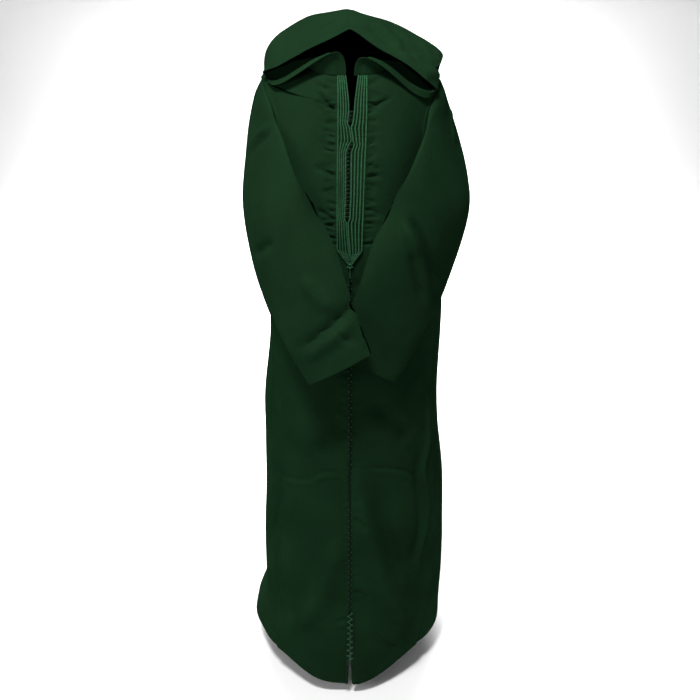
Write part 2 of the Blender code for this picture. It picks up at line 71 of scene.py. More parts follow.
# Each level of the body: drop, half width on the wearer's right and left, depth in front and behind, and the
# power of the oval on the right and left, where 2 is an ellipse and more is squarer
BODY_LEVELS = (
    (0.000, 0.075, 0.075, 0.066, 0.060, 2.0, 2.0),
    (0.020, 0.125, 0.125, 0.083, 0.075, 2.0, 2.0),
    (0.045, 0.176, 0.179, 0.101, 0.092, 2.0, 2.0),
    (0.080, 0.187, 0.192, 0.116, 0.106, 2.05, 2.05),
    (0.150, 0.188, 0.195, 0.133, 0.119, 2.15, 2.15),
    (0.250, 0.186, 0.195, 0.150, 0.128, 2.2, 2.2),
    (0.400, 0.186, 0.200, 0.172, 0.132, 2.2, 2.2),
    (0.580, 0.187, 0.210, 0.190, 0.135, 2.2, 2.2),
    (0.790, 0.205, 0.216, 0.203, 0.140, 2.1, 2.1),
    (1.090, 0.222, 0.245, 0.225, 0.150, 2.0, 2.0),
    (1.300, 0.228, 0.252, 0.246, 0.162, 2.1, 1.85),
    (1.420, 0.261, 0.252, 0.258, 0.172, 2.1, 1.8),
    (1.480, 0.264, 0.252, 0.262, 0.175, 2.1, 1.8),
)

# Half the opening at the centre front: the V of the neck, the edges with knots showing and those drawn
# shut, the seam, and the vent
CENTRE_OPENING = (
    (NECK_FRONT_DROP, 0.0115), (V_DROP, OPENING_GAP), (0.118, OPENING_GAP), (0.126, 0.0006),
    (0.150, 0.0006), (0.157, OPENING_GAP), (0.294, OPENING_GAP), (0.302, 0.0006), (POINT_DROP, SEAM / 2),
    (VENT_DROP, SEAM / 2), (LACING_DROP, 0.0018), (FRONT_LENGTH, 0.0052),
)
# How far the row of knots, and the edges beside it, wander from the middle plane
KNOT_LINE = (
    (NECK_FRONT_DROP, 0.004), (V_DROP, 0.003), (0.120, 0.000), (0.150, 0.004), (0.172, -0.003),
    (0.250, -0.004), (0.300, -0.006), (POINT_DROP, 0.0), (FRONT_LENGTH, 0.0),
)
# Where each braid's outer edge runs
BRAID_EDGE = {
    "right": ((NECK_FRONT_DROP, -0.0235), (V_DROP, -0.0235), (0.22, -0.0255), (PLACKET_DROP, -0.0265)),
    "left": ((NECK_FRONT_DROP, 0.0325), (V_DROP, 0.0325), (0.22, 0.0285), (PLACKET_DROP, 0.0245)),
}

# How far the armhole reaches round from the side, in degrees, and where the gore is sewn in below it, as the
# angle from the centre front or the centre back at each drop
ARMHOLE_REACH = {"front": 42.0, "back": 26.0}
GORE_SEAM = {
    "front": ((0.40, 70.0), (0.60, 66.0), (1.00, 62.0), (1.25, 57.0), (LENGTH, 46.0)),
    "back": ((0.40, 74.0), (0.60, 70.0), (1.00, 64.0), (1.25, 60.0), (LENGTH, 52.0)),
}

# Each sleeve is a tube drawn through four lines that run from its head to its cuff. The outer line starts
# from the shoulder tip, the inner one from under the arm, and the front and back ones lie between them.
SLEEVES = {
    "right": {
        "outer": (
            (-0.205, 0.000, -0.118), (-0.219, -0.014, -0.200), (-0.223, -0.060, -0.300),
            (-0.196, -0.118, -0.425), (-0.156, -0.180, -0.514), (-0.083, -0.246, -0.616),
        ),
        "front": (
            (-0.130, -0.122, -0.146), (-0.142, -0.146, -0.200), (-0.160, -0.172, -0.285),
            (-0.130, -0.200, -0.375), (-0.093, -0.228, -0.461), (-0.023, -0.266, -0.577),
        ),
        "inner": (
            (-0.126, -0.128, -0.242), (-0.088, -0.140, -0.240), (-0.060, -0.160, -0.288),
            (-0.034, -0.190, -0.342), (-0.008, -0.222, -0.416), (0.043, -0.252, -0.544),
        ),
        "back": (
            (-0.205, 0.010, -0.264), (-0.178, -0.035, -0.302), (-0.140, -0.080, -0.320),
            (-0.105, -0.140, -0.384), (-0.072, -0.188, -0.469), (-0.017, -0.241, -0.583),
        ),
    },
    "left": {
        "outer": (
            (0.214, 0.000, -0.118), (0.241, -0.014, -0.205), (0.250, -0.056, -0.285),
            (0.217, -0.100, -0.405), (0.172, -0.150, -0.515), (0.093, -0.206, -0.630),
        ),
        "front": (
            (0.142, -0.120, -0.146), (0.152, -0.146, -0.202), (0.180, -0.165, -0.285),
            (0.148, -0.180, -0.372), (0.105, -0.196, -0.464), (0.032, -0.226, -0.592),
        ),
        "inner": (
            (0.136, -0.128, -0.242), (0.098, -0.138, -0.240), (0.070, -0.158, -0.284),
            (0.046, -0.182, -0.338), (0.018, -0.202, -0.425), (-0.034, -0.217, -0.558),
        ),
        "back": (
            (0.213, 0.010, -0.264), (0.190, -0.035, -0.302), (0.155, -0.080, -0.320),
            (0.122, -0.128, -0.380), (0.088, -0.160, -0.470), (0.028, -0.201, -0.596),
        ),
    },
}

# The hood lies over the shoulders as two flattened lobes. Each lobe's outer fold runs from the corner of the
# face opening, over the shoulder's end, down the back to the hood's tip.
LOBE_FOLD = {
    "right": (
        (-0.168, -0.040, -0.036), (-0.171, 0.022, -0.012), (-0.150, 0.088, -0.058),
        (-0.085, 0.142, -0.150), (0.0, 0.156, -0.205),
    ),
    "left": (
        (0.158, -0.055, -0.068), (0.187, 0.016, -0.004), (0.158, 0.088, -0.055), (0.085, 0.142, -0.150),
        (0.0, 0.156, -0.205),
    ),
}
# The seam down the middle of the hood, from the forehead edge over the top to the tip
HOOD_RIDGE = (
    (0.0, -0.030, 0.044), (0.0, 0.040, 0.080), (0.0, 0.110, 0.050), (0.0, 0.166, -0.070),
    (0.0, 0.172, -0.218),
)
# Handles that shape each lobe from neck seam to ridge, from the face edge back to the tip: how the cloth
# stands up at the neck, comes into the fold from below, leaves it above, and comes into the ridge
LOBE_HANDLES = {
    "right": (
        ((0.004, -0.006, 0.125), (0.022, -0.086, -0.074), (0.052, -0.035, 0.024), (-0.058, -0.050, -0.024)),
        ((-0.024, 0.000, 0.010), (0.020, 0.000, -0.012), (-0.002, 0.002, 0.047), (-0.080, 0.000, 0.000)),
        ((-0.020, 0.014, 0.012), (0.014, 0.006, -0.014), (-0.008, 0.022, 0.040), (-0.070, 0.000, 0.000)),
        ((-0.006, 0.022, 0.020), (0.012, -0.004, 0.012), (-0.014, 0.022, 0.020), (-0.060, 0.000, 0.004)),
        ((0.0, 0.030, 0.010), (0.0, -0.006, 0.060), (0.0, 0.006, -0.006), (0.0, -0.006, -0.002)),
    ),
    "left": (
        ((-0.002, -0.006, 0.105), (-0.010, -0.072, -0.050), (-0.050, -0.020, 0.030), (0.055, -0.050, -0.030)),
        ((0.024, 0.000, 0.010), (-0.020, 0.000, -0.012), (0.000, 0.000, 0.018), (0.070, 0.000, -0.014)),
        ((0.020, 0.014, 0.012), (-0.014, 0.006, -0.014), (0.006, 0.018, 0.026), (0.065, 0.000, -0.006)),
        ((0.006, 0.022, 0.020), (-0.012, -0.004, 0.012), (0.014, 0.022, 0.020), (0.060, 0.000, 0.004)),
        ((0.0, 0.030, 0.010), (0.0, -0.006, 0.060), (0.0, 0.006, -0.006), (0.0, -0.006, -0.002)),
    ),
}

HOOD_STANDS_OFF = 0.0055
LOBE_DEPTH = 0.007  # kept open between the lower and the upper cloth of a lobe
SLEEVE_STANDS_OFF = 0.0045
UNDERARM_STANDS_OFF = 0.010  # more at the underarm, where the sleeve turns forward
SEWN_ROWS = 7  # rows over which a sleeve or the hood leaves the seam that holds it
PRESSED = (1.0, 1.1, 1.25, 1.4, 1.5, 1.6)  # how sharp the folds of a sleeve are, from head to cuff
SLEEVE_EASING = 60  # times that a sleeve's lines are averaged, to take out the waves
LIP_EASING = 150  # the same, for the upper lip of the hood
LIP_ROWS = 16  # how far in from the face edge the lip is eased

# ---- how finely the cloth is drawn
SHOULDER_ROWS = 14
ARMHOLE_ROWS = 66
ROWS_BELOW = (("placket", 34), ("point", 10), ("vent", 190), ("lacing", 28), ("hem", 18))
FRONT_COLUMNS = 64
BACK_COLUMNS = 84
GORE_COLUMNS = 18
SLEEVE_ROWS = 110
HOOD_ROWS = 90
HOOD_COLUMNS = 90
LIP_FIRST_COLUMN = HOOD_COLUMNS // 2 + 8  # the lip is the upper cloth, from just past the lobe's fold

SIGN = {"right": -1, "left": 1}

# ---- curves
def profile(rows, place):
    """Values at a place on smooth curves through rows of (place, value, ...), with no overshoot."""
    if place <= rows[0][0]:
        return rows[0][1:]
    if place >= rows[-1][0]:
        return rows[-1][1:]
    i = max(k for k in range(len(rows) - 1) if rows[k][0] <= place)
    width = rows[i + 1][0] - rows[i][0]
    t = (place - rows[i][0]) / width

    def slope(k, c):
        low, high = max(k - 1, 0), min(k + 1, len(rows) - 1)
        if low == k or high == k:
            return (rows[high][c] - rows[low][c]) / (rows[high][0] - rows[low][0])
        before = (rows[k][c] - rows[low][c]) / (rows[k][0] - rows[low][0])
        after = (rows[high][c] - rows[k][c]) / (rows[high][0] - rows[k][0])
        return 0.0 if before * after <= 0 else 2 * before * after / (before + after)

    values = []
    for c in range(1, len(rows[0])):
        low, high = rows[i][c], rows[i + 1][c]
        rise = width * slope(i, c), width * slope(i + 1, c)
        values.append(
            low * (2 * t**3 - 3 * t**2 + 1)
            + rise[0] * (t**3 - 2 * t**2 + t)
            + high * (3 * t**2 - 2 * t**3)
            + rise[1] * (t**3 - t**2)
        )
    return values


def through(points, share):
    """The vector at a share, 0 to 1, of a smooth curve through evenly numbered points."""
    last = len(points) - 1
    i = min(int(share * last), last - 1)
    t = share * last - i
    b, c = points[i], points[i + 1]
    a = points[i - 1] if i > 0 else b * 2 - c
    d = points[i + 2] if i + 2 <= last else c * 2 - b
    bend, twist = a * 2 - b * 5 + c * 4 - d, b * 3 - a - c * 3 + d
    return b + (c - a) * (t / 2) + bend * (t * t / 2) + twist * (t**3 / 2)


def bezier(a, b, c, d, t):
    """The point at t on the curve from a to d with handles b and c."""
    s = 1 - t
    return a * s**3 + b * (3 * s * s * t) + c * (3 * s * t * t) + d * t**3


def ease(t):
    """From 0 to 1, level at both ends."""
    return t * t * (3 - 2 * t)


# ---- the body's form
def level(side, face, drop):
    """Half width, depth and power of a quarter of the body at a drop."""
    right, left, front, back, power_right, power_left = profile(BODY_LEVELS, drop)
    width, power = (right, power_right) if side == "right" else (left, power_left)
    return width, front if face == "front" else back, power


def body_point(side, face, angle, drop):
    """A point of the body's form: the angle in degrees runs from the centre front or back to the side."""
    width, depth, power = level(side, face, drop)
    turn = math.radians(angle)
    depth = -depth if face == "front" else depth
    x = width * math.sin(turn) ** (2 / power)
    y = depth * max(math.cos(turn), 0.0) ** (2 / power)
    return Vector((SIGN[side] * x, y, -drop))


def angle_at(side, drop, x):
    """The angle at which the body's form is x from the middle plane."""
    width, _, power = level(side, "front", drop)
    return math.degrees(math.asin(min(1.0, (x / width) ** (power / 2))))


def reach(point):
    """1 on the body's form, less inside it and more outside."""
    side = "right" if point.x < 0 else "left"
    face = "front" if point.y < 0 else "back"
    width, depth, power = level(side, face, -point.z)
    return ((abs(point.x) / width) ** power + (abs(point.y) / depth) ** power) ** (1 / power)


def clear_of_body(point, gap):
    """The point, moved square to the body's form until it stands off by the gap. Above the neck it stays."""
    tiny = 0.0005
    for _ in range(6):
        if point.z > 0:
            break
        here = reach(point)
        steps = (Vector((tiny, 0, 0)), Vector((0, tiny, 0)), Vector((0, 0, -tiny)))
        slope = Vector([(reach(point + step) - here) / tiny for step in steps])
        slope.z = -slope.z
        distance = (here - 1) / slope.length
        if distance >= gap:
            break
        point = point + slope.normalized() * (gap - distance)
    return point


# ---- the armhole and the rows that all the body's panels share
ARMHOLE_MIDDLE = SHOULDER_TIP_DROP + ARMHOLE_DEPTH / 2


def armhole(face, turn):
    """Angle and drop on the armhole's edge: turn runs from 0 at the shoulder tip to 180 at the underarm."""
    reach = ARMHOLE_REACH[face] * math.sin(math.radians(turn))
    return 90 - reach, ARMHOLE_MIDDLE - ARMHOLE_DEPTH / 2 * math.cos(math.radians(turn))


UNDERARM_TURN = 180 - math.degrees(math.acos(UNDERARM_SHARE))
ARMHOLE_TURNS = [UNDERARM_TURN * k / ARMHOLE_ROWS for k in range(ARMHOLE_ROWS + 1)]
UNDERARM_DROP = armhole("front", UNDERARM_TURN)[1]


def side_drops():
    """The drop of each row where it meets the shoulder seam, the armhole and then the gore."""
    drops = [SHOULDER_TIP_DROP * k / SHOULDER_ROWS for k in range(SHOULDER_ROWS)]
    drops += [armhole("front", turn)[1] for turn in ARMHOLE_TURNS]
    ends = {"placket": PLACKET_DROP, "point": POINT_DROP, "vent": VENT_DROP, "lacing": LACING_DROP}
    ends["hem"] = FRONT_LENGTH
    for end, count in ROWS_BELOW:
        low, high = drops[-1], (ends[end] - NECK_FRONT_DROP) * LENGTH / (FRONT_LENGTH - NECK_FRONT_DROP)
        drops += [low + (high - low) * k / count for k in range(1, count + 1)]
    return drops


SIDE_DROPS = side_drops()
FIRST_LOWER_ROW = SHOULDER_ROWS + ARMHOLE_ROWS


def edge_angle(face, row):
    """Where a front or back panel ends on this row: shoulder seam, armhole or gore seam."""
    if row < SHOULDER_ROWS:
        return 90.0
    if row <= FIRST_LOWER_ROW:
        return armhole(face, ARMHOLE_TURNS[row - SHOULDER_ROWS])[0]
    underarm = (UNDERARM_DROP, armhole(face, UNDERARM_TURN)[0])
    return profile((underarm, *GORE_SEAM[face]), SIDE_DROPS[row])[0]


def centre_drop(row, top, bottom):
    return top + SIDE_DROPS[row] * (bottom - top) / LENGTH


# ---- the cut pieces, each as rows of points through the middle of its wall
def on_front(x, drop):
    """The point of the front at x from the middle plane, either way."""
    side = "right" if x < 0 else "left"
    return body_point(side, "front", angle_at(side, drop, abs(x)), drop)


def inner_edge(side, drop):
    """Where a front panel's centre edge lies: the opening is not straight, and parts of it are drawn shut."""
    middle = profile(KNOT_LINE, drop)[0]
    return middle + SIGN[side] * profile(CENTRE_OPENING, drop)[0]


def front_grid(side):
    """Rows from neck to hem, each from the centre edge to the outer edge."""
    rows = []
    for row in range(len(SIDE_DROPS)):
        middle = centre_drop(row, NECK_FRONT_DROP, FRONT_LENGTH)
        start = inner_edge(side, middle)
        start_side = "right" if start < 0 else "left"
        inner = math.copysign(angle_at(start_side, middle, abs(start)), start)
        outer = edge_angle("front", row) * SIGN[side]
        line = []
        for k in range(FRONT_COLUMNS + 1):
            angle = inner + (outer - inner) * k / FRONT_COLUMNS
            drop = middle + (SIDE_DROPS[row] - middle) * ease(k / FRONT_COLUMNS)
            line.append(body_point("right" if angle < 0 else "left", "front", abs(angle), drop))
        rows.append(line)
    return rows


def back_grid():
    """Rows from neck to hem, each from the wearer's right to the left."""
    rows = []
    for row in range(len(SIDE_DROPS)):
        middle = centre_drop(row, 0.0, BACK_LENGTH)
        edge = edge_angle("back", row)
        line = []
        for k in range(BACK_COLUMNS + 1):
            across = 2 * k / BACK_COLUMNS - 1
            side = "left" if across > 0 else "right"
            drop = middle + (SIDE_DROPS[row] - middle) * ease(abs(across))
            line.append(body_point(side, "back", edge * abs(across), drop))
        rows.append(line)
    return rows


def gore_line(side, row):
    """One row of a gore, round the side from the front panel's edge to the back panel's."""
    front, back = edge_angle("front", row), edge_angle("back", row)
    half = GORE_COLUMNS // 2
    places = [("front", front + (90 - front) * k / half) for k in range(half)]
    places += [("back", 90 - (90 - back) * k / half) for k in range(half + 1)]
    line = []
    for face, angle in places:
        drop = SIDE_DROPS[row]
        if row == FIRST_LOWER_ROW:
            share = min(1.0, (90 - angle) / ARMHOLE_REACH[face])
            drop = ARMHOLE_MIDDLE + ARMHOLE_DEPTH / 2 * math.sqrt(1 - share * share)
        line.append(body_point(side, face, angle, drop))
    return line


def gore_grid(side):
    return [gore_line(side, row) for row in range(FIRST_LOWER_ROW, len(SIDE_DROPS))]


def armhole_loop(side):
    """The armhole's edge, from the shoulder tip down the front, under the arm and up the back."""
    front = [body_point(side, "front", *armhole("front", turn)) for turn in ARMHOLE_TURNS]
    back = [body_point(side, "back", *armhole("back", turn)) for turn in ARMHOLE_TURNS]
    under = gore_line(side, FIRST_LOWER_ROW)[1:-1]
    return front + under + back[:0:-1]


def ring_turns():
    """The turn of each point of a sleeve's ring, once round from the shoulder tip by the front."""
    half = GORE_COLUMNS // 2
    under = [180 + (UNDERARM_TURN - 180) * (1 - k / half) for k in range(1, GORE_COLUMNS)]
    return ARMHOLE_TURNS + under + [360 - turn for turn in ARMHOLE_TURNS[:0:-1]]


def sleeve_ring(side, station):
    """The ring of a sleeve at a station of its four lines, point for point with the armhole's loop."""
    lines = SLEEVES[side]
    outer, front, inner, back = (Vector(lines[name][station]) for name in ("outer", "front", "inner", "back"))
    middle = (outer + inner) / 2
    ring = []
    for turn in ring_turns():
        angle = math.radians(turn)
        bulge = front - middle if turn < 180 else middle - back
        swell = math.copysign(abs(math.sin(angle)) ** PRESSED[station], math.sin(angle))
        ring.append(middle + (outer - middle) * math.cos(angle) + bulge * swell)
    return ring


def sleeve_grid(side, rows):
    """Rings from the armhole to the cuff."""
    loop = armhole_loop(side)
    rings = [loop] + [sleeve_ring(side, station) for station in range(len(SLEEVES[side]["outer"]))]
    grid = []
    for row in range(rows + 1):
        share = row / rows
        free = min(1.0, row / SEWN_ROWS)
        line = []
        for k, turn in enumerate(ring_turns()):
            under = UNDERARM_STANDS_OFF * max(0.0, -math.cos(math.radians(turn)))
            gap = (WALL + 4 * SEAM + SLEEVE_STANDS_OFF + under) * free
            line.append(clear_of_body(through([ring[k] for ring in rings], share), gap))
        grid.append(line)
    return eased_down(grid, SLEEVE_EASING)


def neck_point(side, share):
    """A point of the neck edge, from the centre front round to the centre back."""
    if share <= 0.5:
        inner = angle_at(side, NECK_FRONT_DROP, NECK_OPENING)
        angle = inner + (90 - inner) * share * 2
        drop = NECK_FRONT_DROP * (1 - ease(share * 2))
        return body_point(side, "front", angle, drop)
    return body_point(side, "back", 180 * (1 - share), 0.0)


def hood_grid(side):
    """Lines from the face edge back to the tip, each from the neck seam round the fold to the ridge."""
    fold = [Vector(point) for point in LOBE_FOLD[side]]
    ridge = [Vector(point) for point in HOOD_RIDGE]
    handles = [[Vector(handle) for handle in line] for line in LOBE_HANDLES[side]]
    rows = []
    for row in range(HOOD_ROWS + 1):
        share = row / HOOD_ROWS
        neck = neck_point(side, share)
        rise, below, above, level = (through([line[k] for line in handles], share) for k in range(4))
        end, top = through(fold, share), through(ridge, share)
        line = []
        for column in range(HOOD_COLUMNS + 1):
            t = 2 * column / HOOD_COLUMNS
            if t <= 1:
                line.append(bezier(neck, neck + rise, end + below, end, t))
            else:
                line.append(bezier(end, end + above, top + level, top, t - 1))
            if 0 < column < HOOD_COLUMNS:
                stands_off = (WALL + 4 * SEAM + HOOD_STANDS_OFF) * min(1.0, column / SEWN_ROWS)
                stands_off += LOBE_DEPTH * min(1.0, max(0.0, t - 1) * 3)
                line[-1] = clear_of_body(line[-1], stands_off)
        rows.append(line)
    return eased_lip(rows)


def eased_down(grid, times):
    """The grid with the waves taken out of its columns, away from its ends."""
    points = as_arrays(grid)
    for _ in range(times):
        points[2:-4] = (points[1:-5] + points[2:-4] * 2 + points[3:-3]) / 4
    return points


def eased_lip(grid):
    """The hood's grid with the waves taken out of its lip, less and less from the edge in."""
    points = as_arrays(grid)
    smooth = points[:LIP_ROWS].copy()
    first = LIP_FIRST_COLUMN
    for _ in range(LIP_EASING):
        before, middle, after = smooth[:, first - 1:-2], smooth[:, first:-1], smooth[:, first + 1:]
        smooth[:, first:-1] = (before + middle * 2 + after) / 4
    keep = np.linspace(0.0, 1.0, LIP_ROWS)[:, None, None]
    points[:LIP_ROWS] = smooth * (1 - keep) + points[:LIP_ROWS] * keep
    return points


# ---- materials
GREEN_SHEEN = (0.20, 0.80, 0.30)
SHEEN_ROUGHNESS = 0.45
THREAD = 0.0011  # from one rib of the twill to the next
TWILL_ANGLE = 38


def shader_of(name, colour, roughness, sheen, shine):
    """A new Principled material and its parts."""
    material = bpy.data.materials.new(name)
    material.use_nodes = True
    tree = material.node_tree
    shader = tree.nodes["Principled BSDF"]
    values = {
        "Base Color": (*colour, 1.0),
        "Roughness": roughness,
        "Sheen Weight": sheen,
        "Sheen Roughness": SHEEN_ROUGHNESS,
        "Sheen Tint": (*GREEN_SHEEN, 1.0),
        "Specular IOR Level": shine,
    }
    for socket, value in values.items():
        shader.inputs[socket].default_value = value
    return material, tree, shader


def noise_at(tree, place, scale, detail):
    """Noise of so many lumps to the metre."""
    texture = tree.nodes.new("ShaderNodeTexNoise")
    texture.inputs["Scale"].default_value = scale
    texture.inputs["Detail"].default_value = detail
    tree.links.new(place, texture.inputs["Vector"])
    return texture.outputs["Fac"]


def mottled(tree, factor, colour, low, high):
    """The colour, from so much darker to so much lighter as the factor rises."""
    ramp = tree.nodes.new("ShaderNodeValToRGB")
    ramp.color_ramp.elements[0].position = 0.3
    ramp.color_ramp.elements[1].position = 0.7
    ramp.color_ramp.elements[0].color = (*[c * low for c in colour], 1.0)
    ramp.color_ramp.elements[1].color = (*[c * high for c in colour], 1.0)
    tree.links.new(factor, ramp.inputs["Fac"])
    return ramp.outputs["Color"]


def bumped(tree, shader, height, strength, distance):
    """The height, as bump on the shader's normal."""
    bump = tree.nodes.new("ShaderNodeBump")
    bump.inputs["Strength"].default_value = strength
    bump.inputs["Distance"].default_value = distance
    tree.links.new(height, bump.inputs["Height"])
    tree.links.new(bump.outputs["Normal"], shader.inputs["Normal"])


def math_node(tree, operation, a, b):
    """The output of a sum or product of two values or outputs."""
    node = tree.nodes.new("ShaderNodeMath")
    node.operation = operation
    for socket, value in zip(node.inputs, (a, b)):
        if isinstance(value, (int, float)):
            socket.default_value = value
        else:
            tree.links.new(value, socket)
    return node.outputs["Value"]


def woven(name, colour, roughness, sheen, shine):
    """Cloth in a fine twill: diagonal ribs, threads across them, a mottled dye and a soft sheen."""
    material, tree, shader = shader_of(name, colour, roughness, sheen, shine)
    place = tree.nodes.new("ShaderNodeTexCoord").outputs["Object"]
    ribs = []
    for turn in (0.0, math.pi / 2):
        turned = tree.nodes.new("ShaderNodeMapping")
        turned.inputs["Rotation"].default_value = (0.0, math.radians(TWILL_ANGLE) + turn, 0.0)
        tree.links.new(place, turned.inputs["Vector"])
        wave = tree.nodes.new("ShaderNodeTexWave")
        wave.inputs["Scale"].default_value = 1 / (THREAD * 3.14 * (1 if turn == 0 else 0.5))
        wave.inputs["Distortion"].default_value = 0.6
        tree.links.new(turned.outputs["Vector"], wave.inputs["Vector"])
        ribs.append(wave.outputs["Fac"])
    mottle = noise_at(tree, place, 9.0, 3.0)
    fine = noise_at(tree, place, 420.0, 2.0)
    broad = math_node(tree, "MULTIPLY", mottle, 0.6)
    mixed = math_node(tree, "ADD", broad, math_node(tree, "MULTIPLY", fine, 0.4))
    tree.links.new(mottled(tree, mixed, colour, 0.78, 1.25), shader.inputs["Base Color"])
    weave = math_node(tree, "MULTIPLY", ribs[0], ribs[1])
    height = math_node(tree, "ADD", weave, math_node(tree, "MULTIPLY", fine, 0.5))
    bumped(tree, shader, height, 0.5, 0.00025)
    rough = math_node(tree, "ADD", math_node(tree, "MULTIPLY", mottle, 0.12), roughness - 0.06)
    tree.links.new(rough, shader.inputs["Roughness"])
    return material


def spun(name, colour, roughness, sheen, shine):
    """Shiny thread: fine strands and small changes of tone."""
    material, tree, shader = shader_of(name, colour, roughness, sheen, shine)
    place = tree.nodes.new("ShaderNodeTexCoord").outputs["Object"]
    tone = noise_at(tree, place, 260.0, 3.0)
    tree.links.new(mottled(tree, tone, colour, 0.82, 1.2), shader.inputs["Base Color"])
    bumped(tree, shader, noise_at(tree, place, 1800.0, 2.0), 0.6, 0.0002)
    return material


CLOTH = woven("twill", (0.0062, 0.0202, 0.0084), 0.60, 0.006, 0.0)
# painted shade: a cloth far darker than the twill, put on the inner faces of the pieces where shade falls
SHADE_PAINTED_INSIDE = woven("twill_painted_shade", (0.0005, 0.0018, 0.0008), 0.80, 0.0, 0.0)
BRAID = spun("braid_thread", (0.0225, 0.0900, 0.0375), 0.50, 0.04, 0.10)
DARK_THREAD = spun("knot_thread", (0.0010, 0.0036, 0.0018), 0.45, 0.0, 0.08)
PALE_THREAD = spun("stitch_thread", (0.0220, 0.0600, 0.0300), 0.45, 0.06, 0.2)
CLOTH_THREAD = spun("seam_thread", (0.0062, 0.0210, 0.0095), 0.60, 0.04, 0.06)

CLOTH_THICK = 0.0013
SLEEVE_HALF_ROUND = 0.20  # from the outer fold of a sleeve round to the inner one


# ---- meshes, shaded smooth but for edges sharper than this, in degrees
CLOTH_SHARP = 50
TRIM_SHARP = 60


def mesh_piece(name, points, faces, material, node, sharp):
    """A smooth mesh object that stands for a node of the frame, or for nothing where node is None."""
    mesh = bpy.data.meshes.new(name)
    mesh.from_pydata([tuple(point) for point in points], [], faces)
    mesh.materials.append(material)
    mesh.shade_smooth()
    mesh.set_sharp_from_angle(angle=math.radians(sharp))
    piece = bpy.data.objects.new(name, mesh)
    bpy.context.scene.collection.objects.link(piece)
    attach(piece, "root")
    if node:
        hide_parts(node)
    return piece


def as_arrays(grid):
    """A grid of Vectors as one array."""
    return np.array([[tuple(point) for point in line] for line in grid])


def normals_of(points, closed):
    """Unit normals of a grid of points, whose lines are rings where it is closed."""
    down = np.gradient(points, axis=0)
    if closed:
        across = np.roll(points, -1, axis=1) - np.roll(points, 1, axis=1)
    else:
        across = np.gradient(points, axis=1)
    found = np.cross(down, across)
    return found / np.maximum(np.linalg.norm(found, axis=2, keepdims=True), 1e-12)


def edge_distance(points, end):
    """How far each point is from its line's end: top or bottom along the rows, first or last across them."""
    axis = 0 if end in ("top", "bottom") else 1
    steps = np.linalg.norm(np.diff(points, axis=axis), axis=2)
    zero = np.zeros_like(np.take(steps, [0], axis=axis))
    if end in ("top", "first"):
        return np.concatenate([zero, np.cumsum(steps, axis=axis)], axis=axis)
    turned = np.flip(np.cumsum(np.flip(steps, axis=axis), axis=axis), axis=axis)
    return np.concatenate([turned, zero], axis=axis)


def crease(points, path, width, height):
    """The lift of each point from one soft ridge, or trough if height is below zero, along a path."""
    knots = [Vector(knot) for knot in path]
    long = sum((b - a).length for a, b in zip(knots, knots[1:]))
    count = max(4, int(long / 0.003))
    line = np.array([tuple(through(knots, k / count)) for k in range(count + 1)])
    near = np.all((points > line.min(0) - 3 * width) & (points < line.max(0) + 3 * width), axis=2)
    lift = np.zeros(points.shape[:2])
    if near.any():
        apart = np.linalg.norm(points[near][:, None, :] - line[None], axis=2)
        place = apart.argmin(1) / count
        fade = np.clip(np.minimum(place, 1 - place) * 4 + 0.15, 0, 1)
        lift[near] = height * np.exp(-((apart.min(1) / width) ** 2)) * fade
    return lift


def ripple(points, amount, size, seed):
    """A slow unevenness, longer down the cloth than across it."""
    shift = Vector((seed * 7.3, seed * 3.1, seed * 1.7))
    flat = points.reshape(-1, 3)
    scaled = flat / np.array([size, size, size * 2.6])
    values = [noise.noise(Vector(place) + shift) for place in scaled]
    return np.array(values).reshape(points.shape[:2]) * amount


def cloth(name, points, lift, outward, closed=False, turned_rows=0):
    """A thin closed shell along a grid, lifted away from the garment's inside.

    The grid's normals look outward or not. The inner face is painted shade, a far darker cloth, but for
    turned rows.
    """
    facing = normals_of(points, closed)
    middle = points + facing * (lift if outward else -lift)[..., None]
    facing = normals_of(middle, closed)
    rows, columns = middle.shape[:2]
    layer = rows * columns
    both = np.concatenate([(middle - facing * CLOTH_THICK / 2).reshape(-1, 3),
                           (middle + facing * CLOTH_THICK / 2).reshape(-1, 3)])
    faces = []
    spans = columns if closed else columns - 1
    for r in range(rows - 1):
        for c in range(spans):
            a, b = r * columns + c, r * columns + (c + 1) % columns
            d, e = a + columns, b + columns
            faces.append((a, b, e, d))
            faces.append((a + layer, d + layer, e + layer, b + layer))
    for c in range(spans):
        n = (c + 1) % columns
        bottom = (rows - 1) * columns
        faces.append((c, c + layer, n + layer, n))
        faces.append((bottom + c, bottom + n, bottom + n + layer, bottom + c + layer))
    if not closed:
        for r in range(rows - 1):
            for c, flip in ((0, False), (columns - 1, True)):
                a, b = r * columns + c, (r + 1) * columns + c
                face = (a, b, b + layer, a + layer)
                faces.append(face[::-1] if flip else face)
    corners = [both[[face[k] for face in faces]] for k in range(3)]
    if np.einsum("ij,ij->i", corners[0], np.cross(corners[1], corners[2])).sum() < 0:
        faces = [face[::-1] for face in faces]
    piece = mesh_piece(name + "_cloth", both, faces, CLOTH, name, CLOTH_SHARP)
    # the inner faces take the painted shade, a far darker cloth
    piece.data.materials.append(SHADE_PAINTED_INSIDE)
    inner = 0 if outward else 1
    panel = range(2 * turned_rows * spans, 2 * (rows - 1) * spans)
    sides = [1 if k in panel and k % 2 == inner else 0 for k in range(len(faces))]
    piece.data.polygons.foreach_set("material_index", sides)
    return piece, middle, facing


TUBE_SIDES = 5


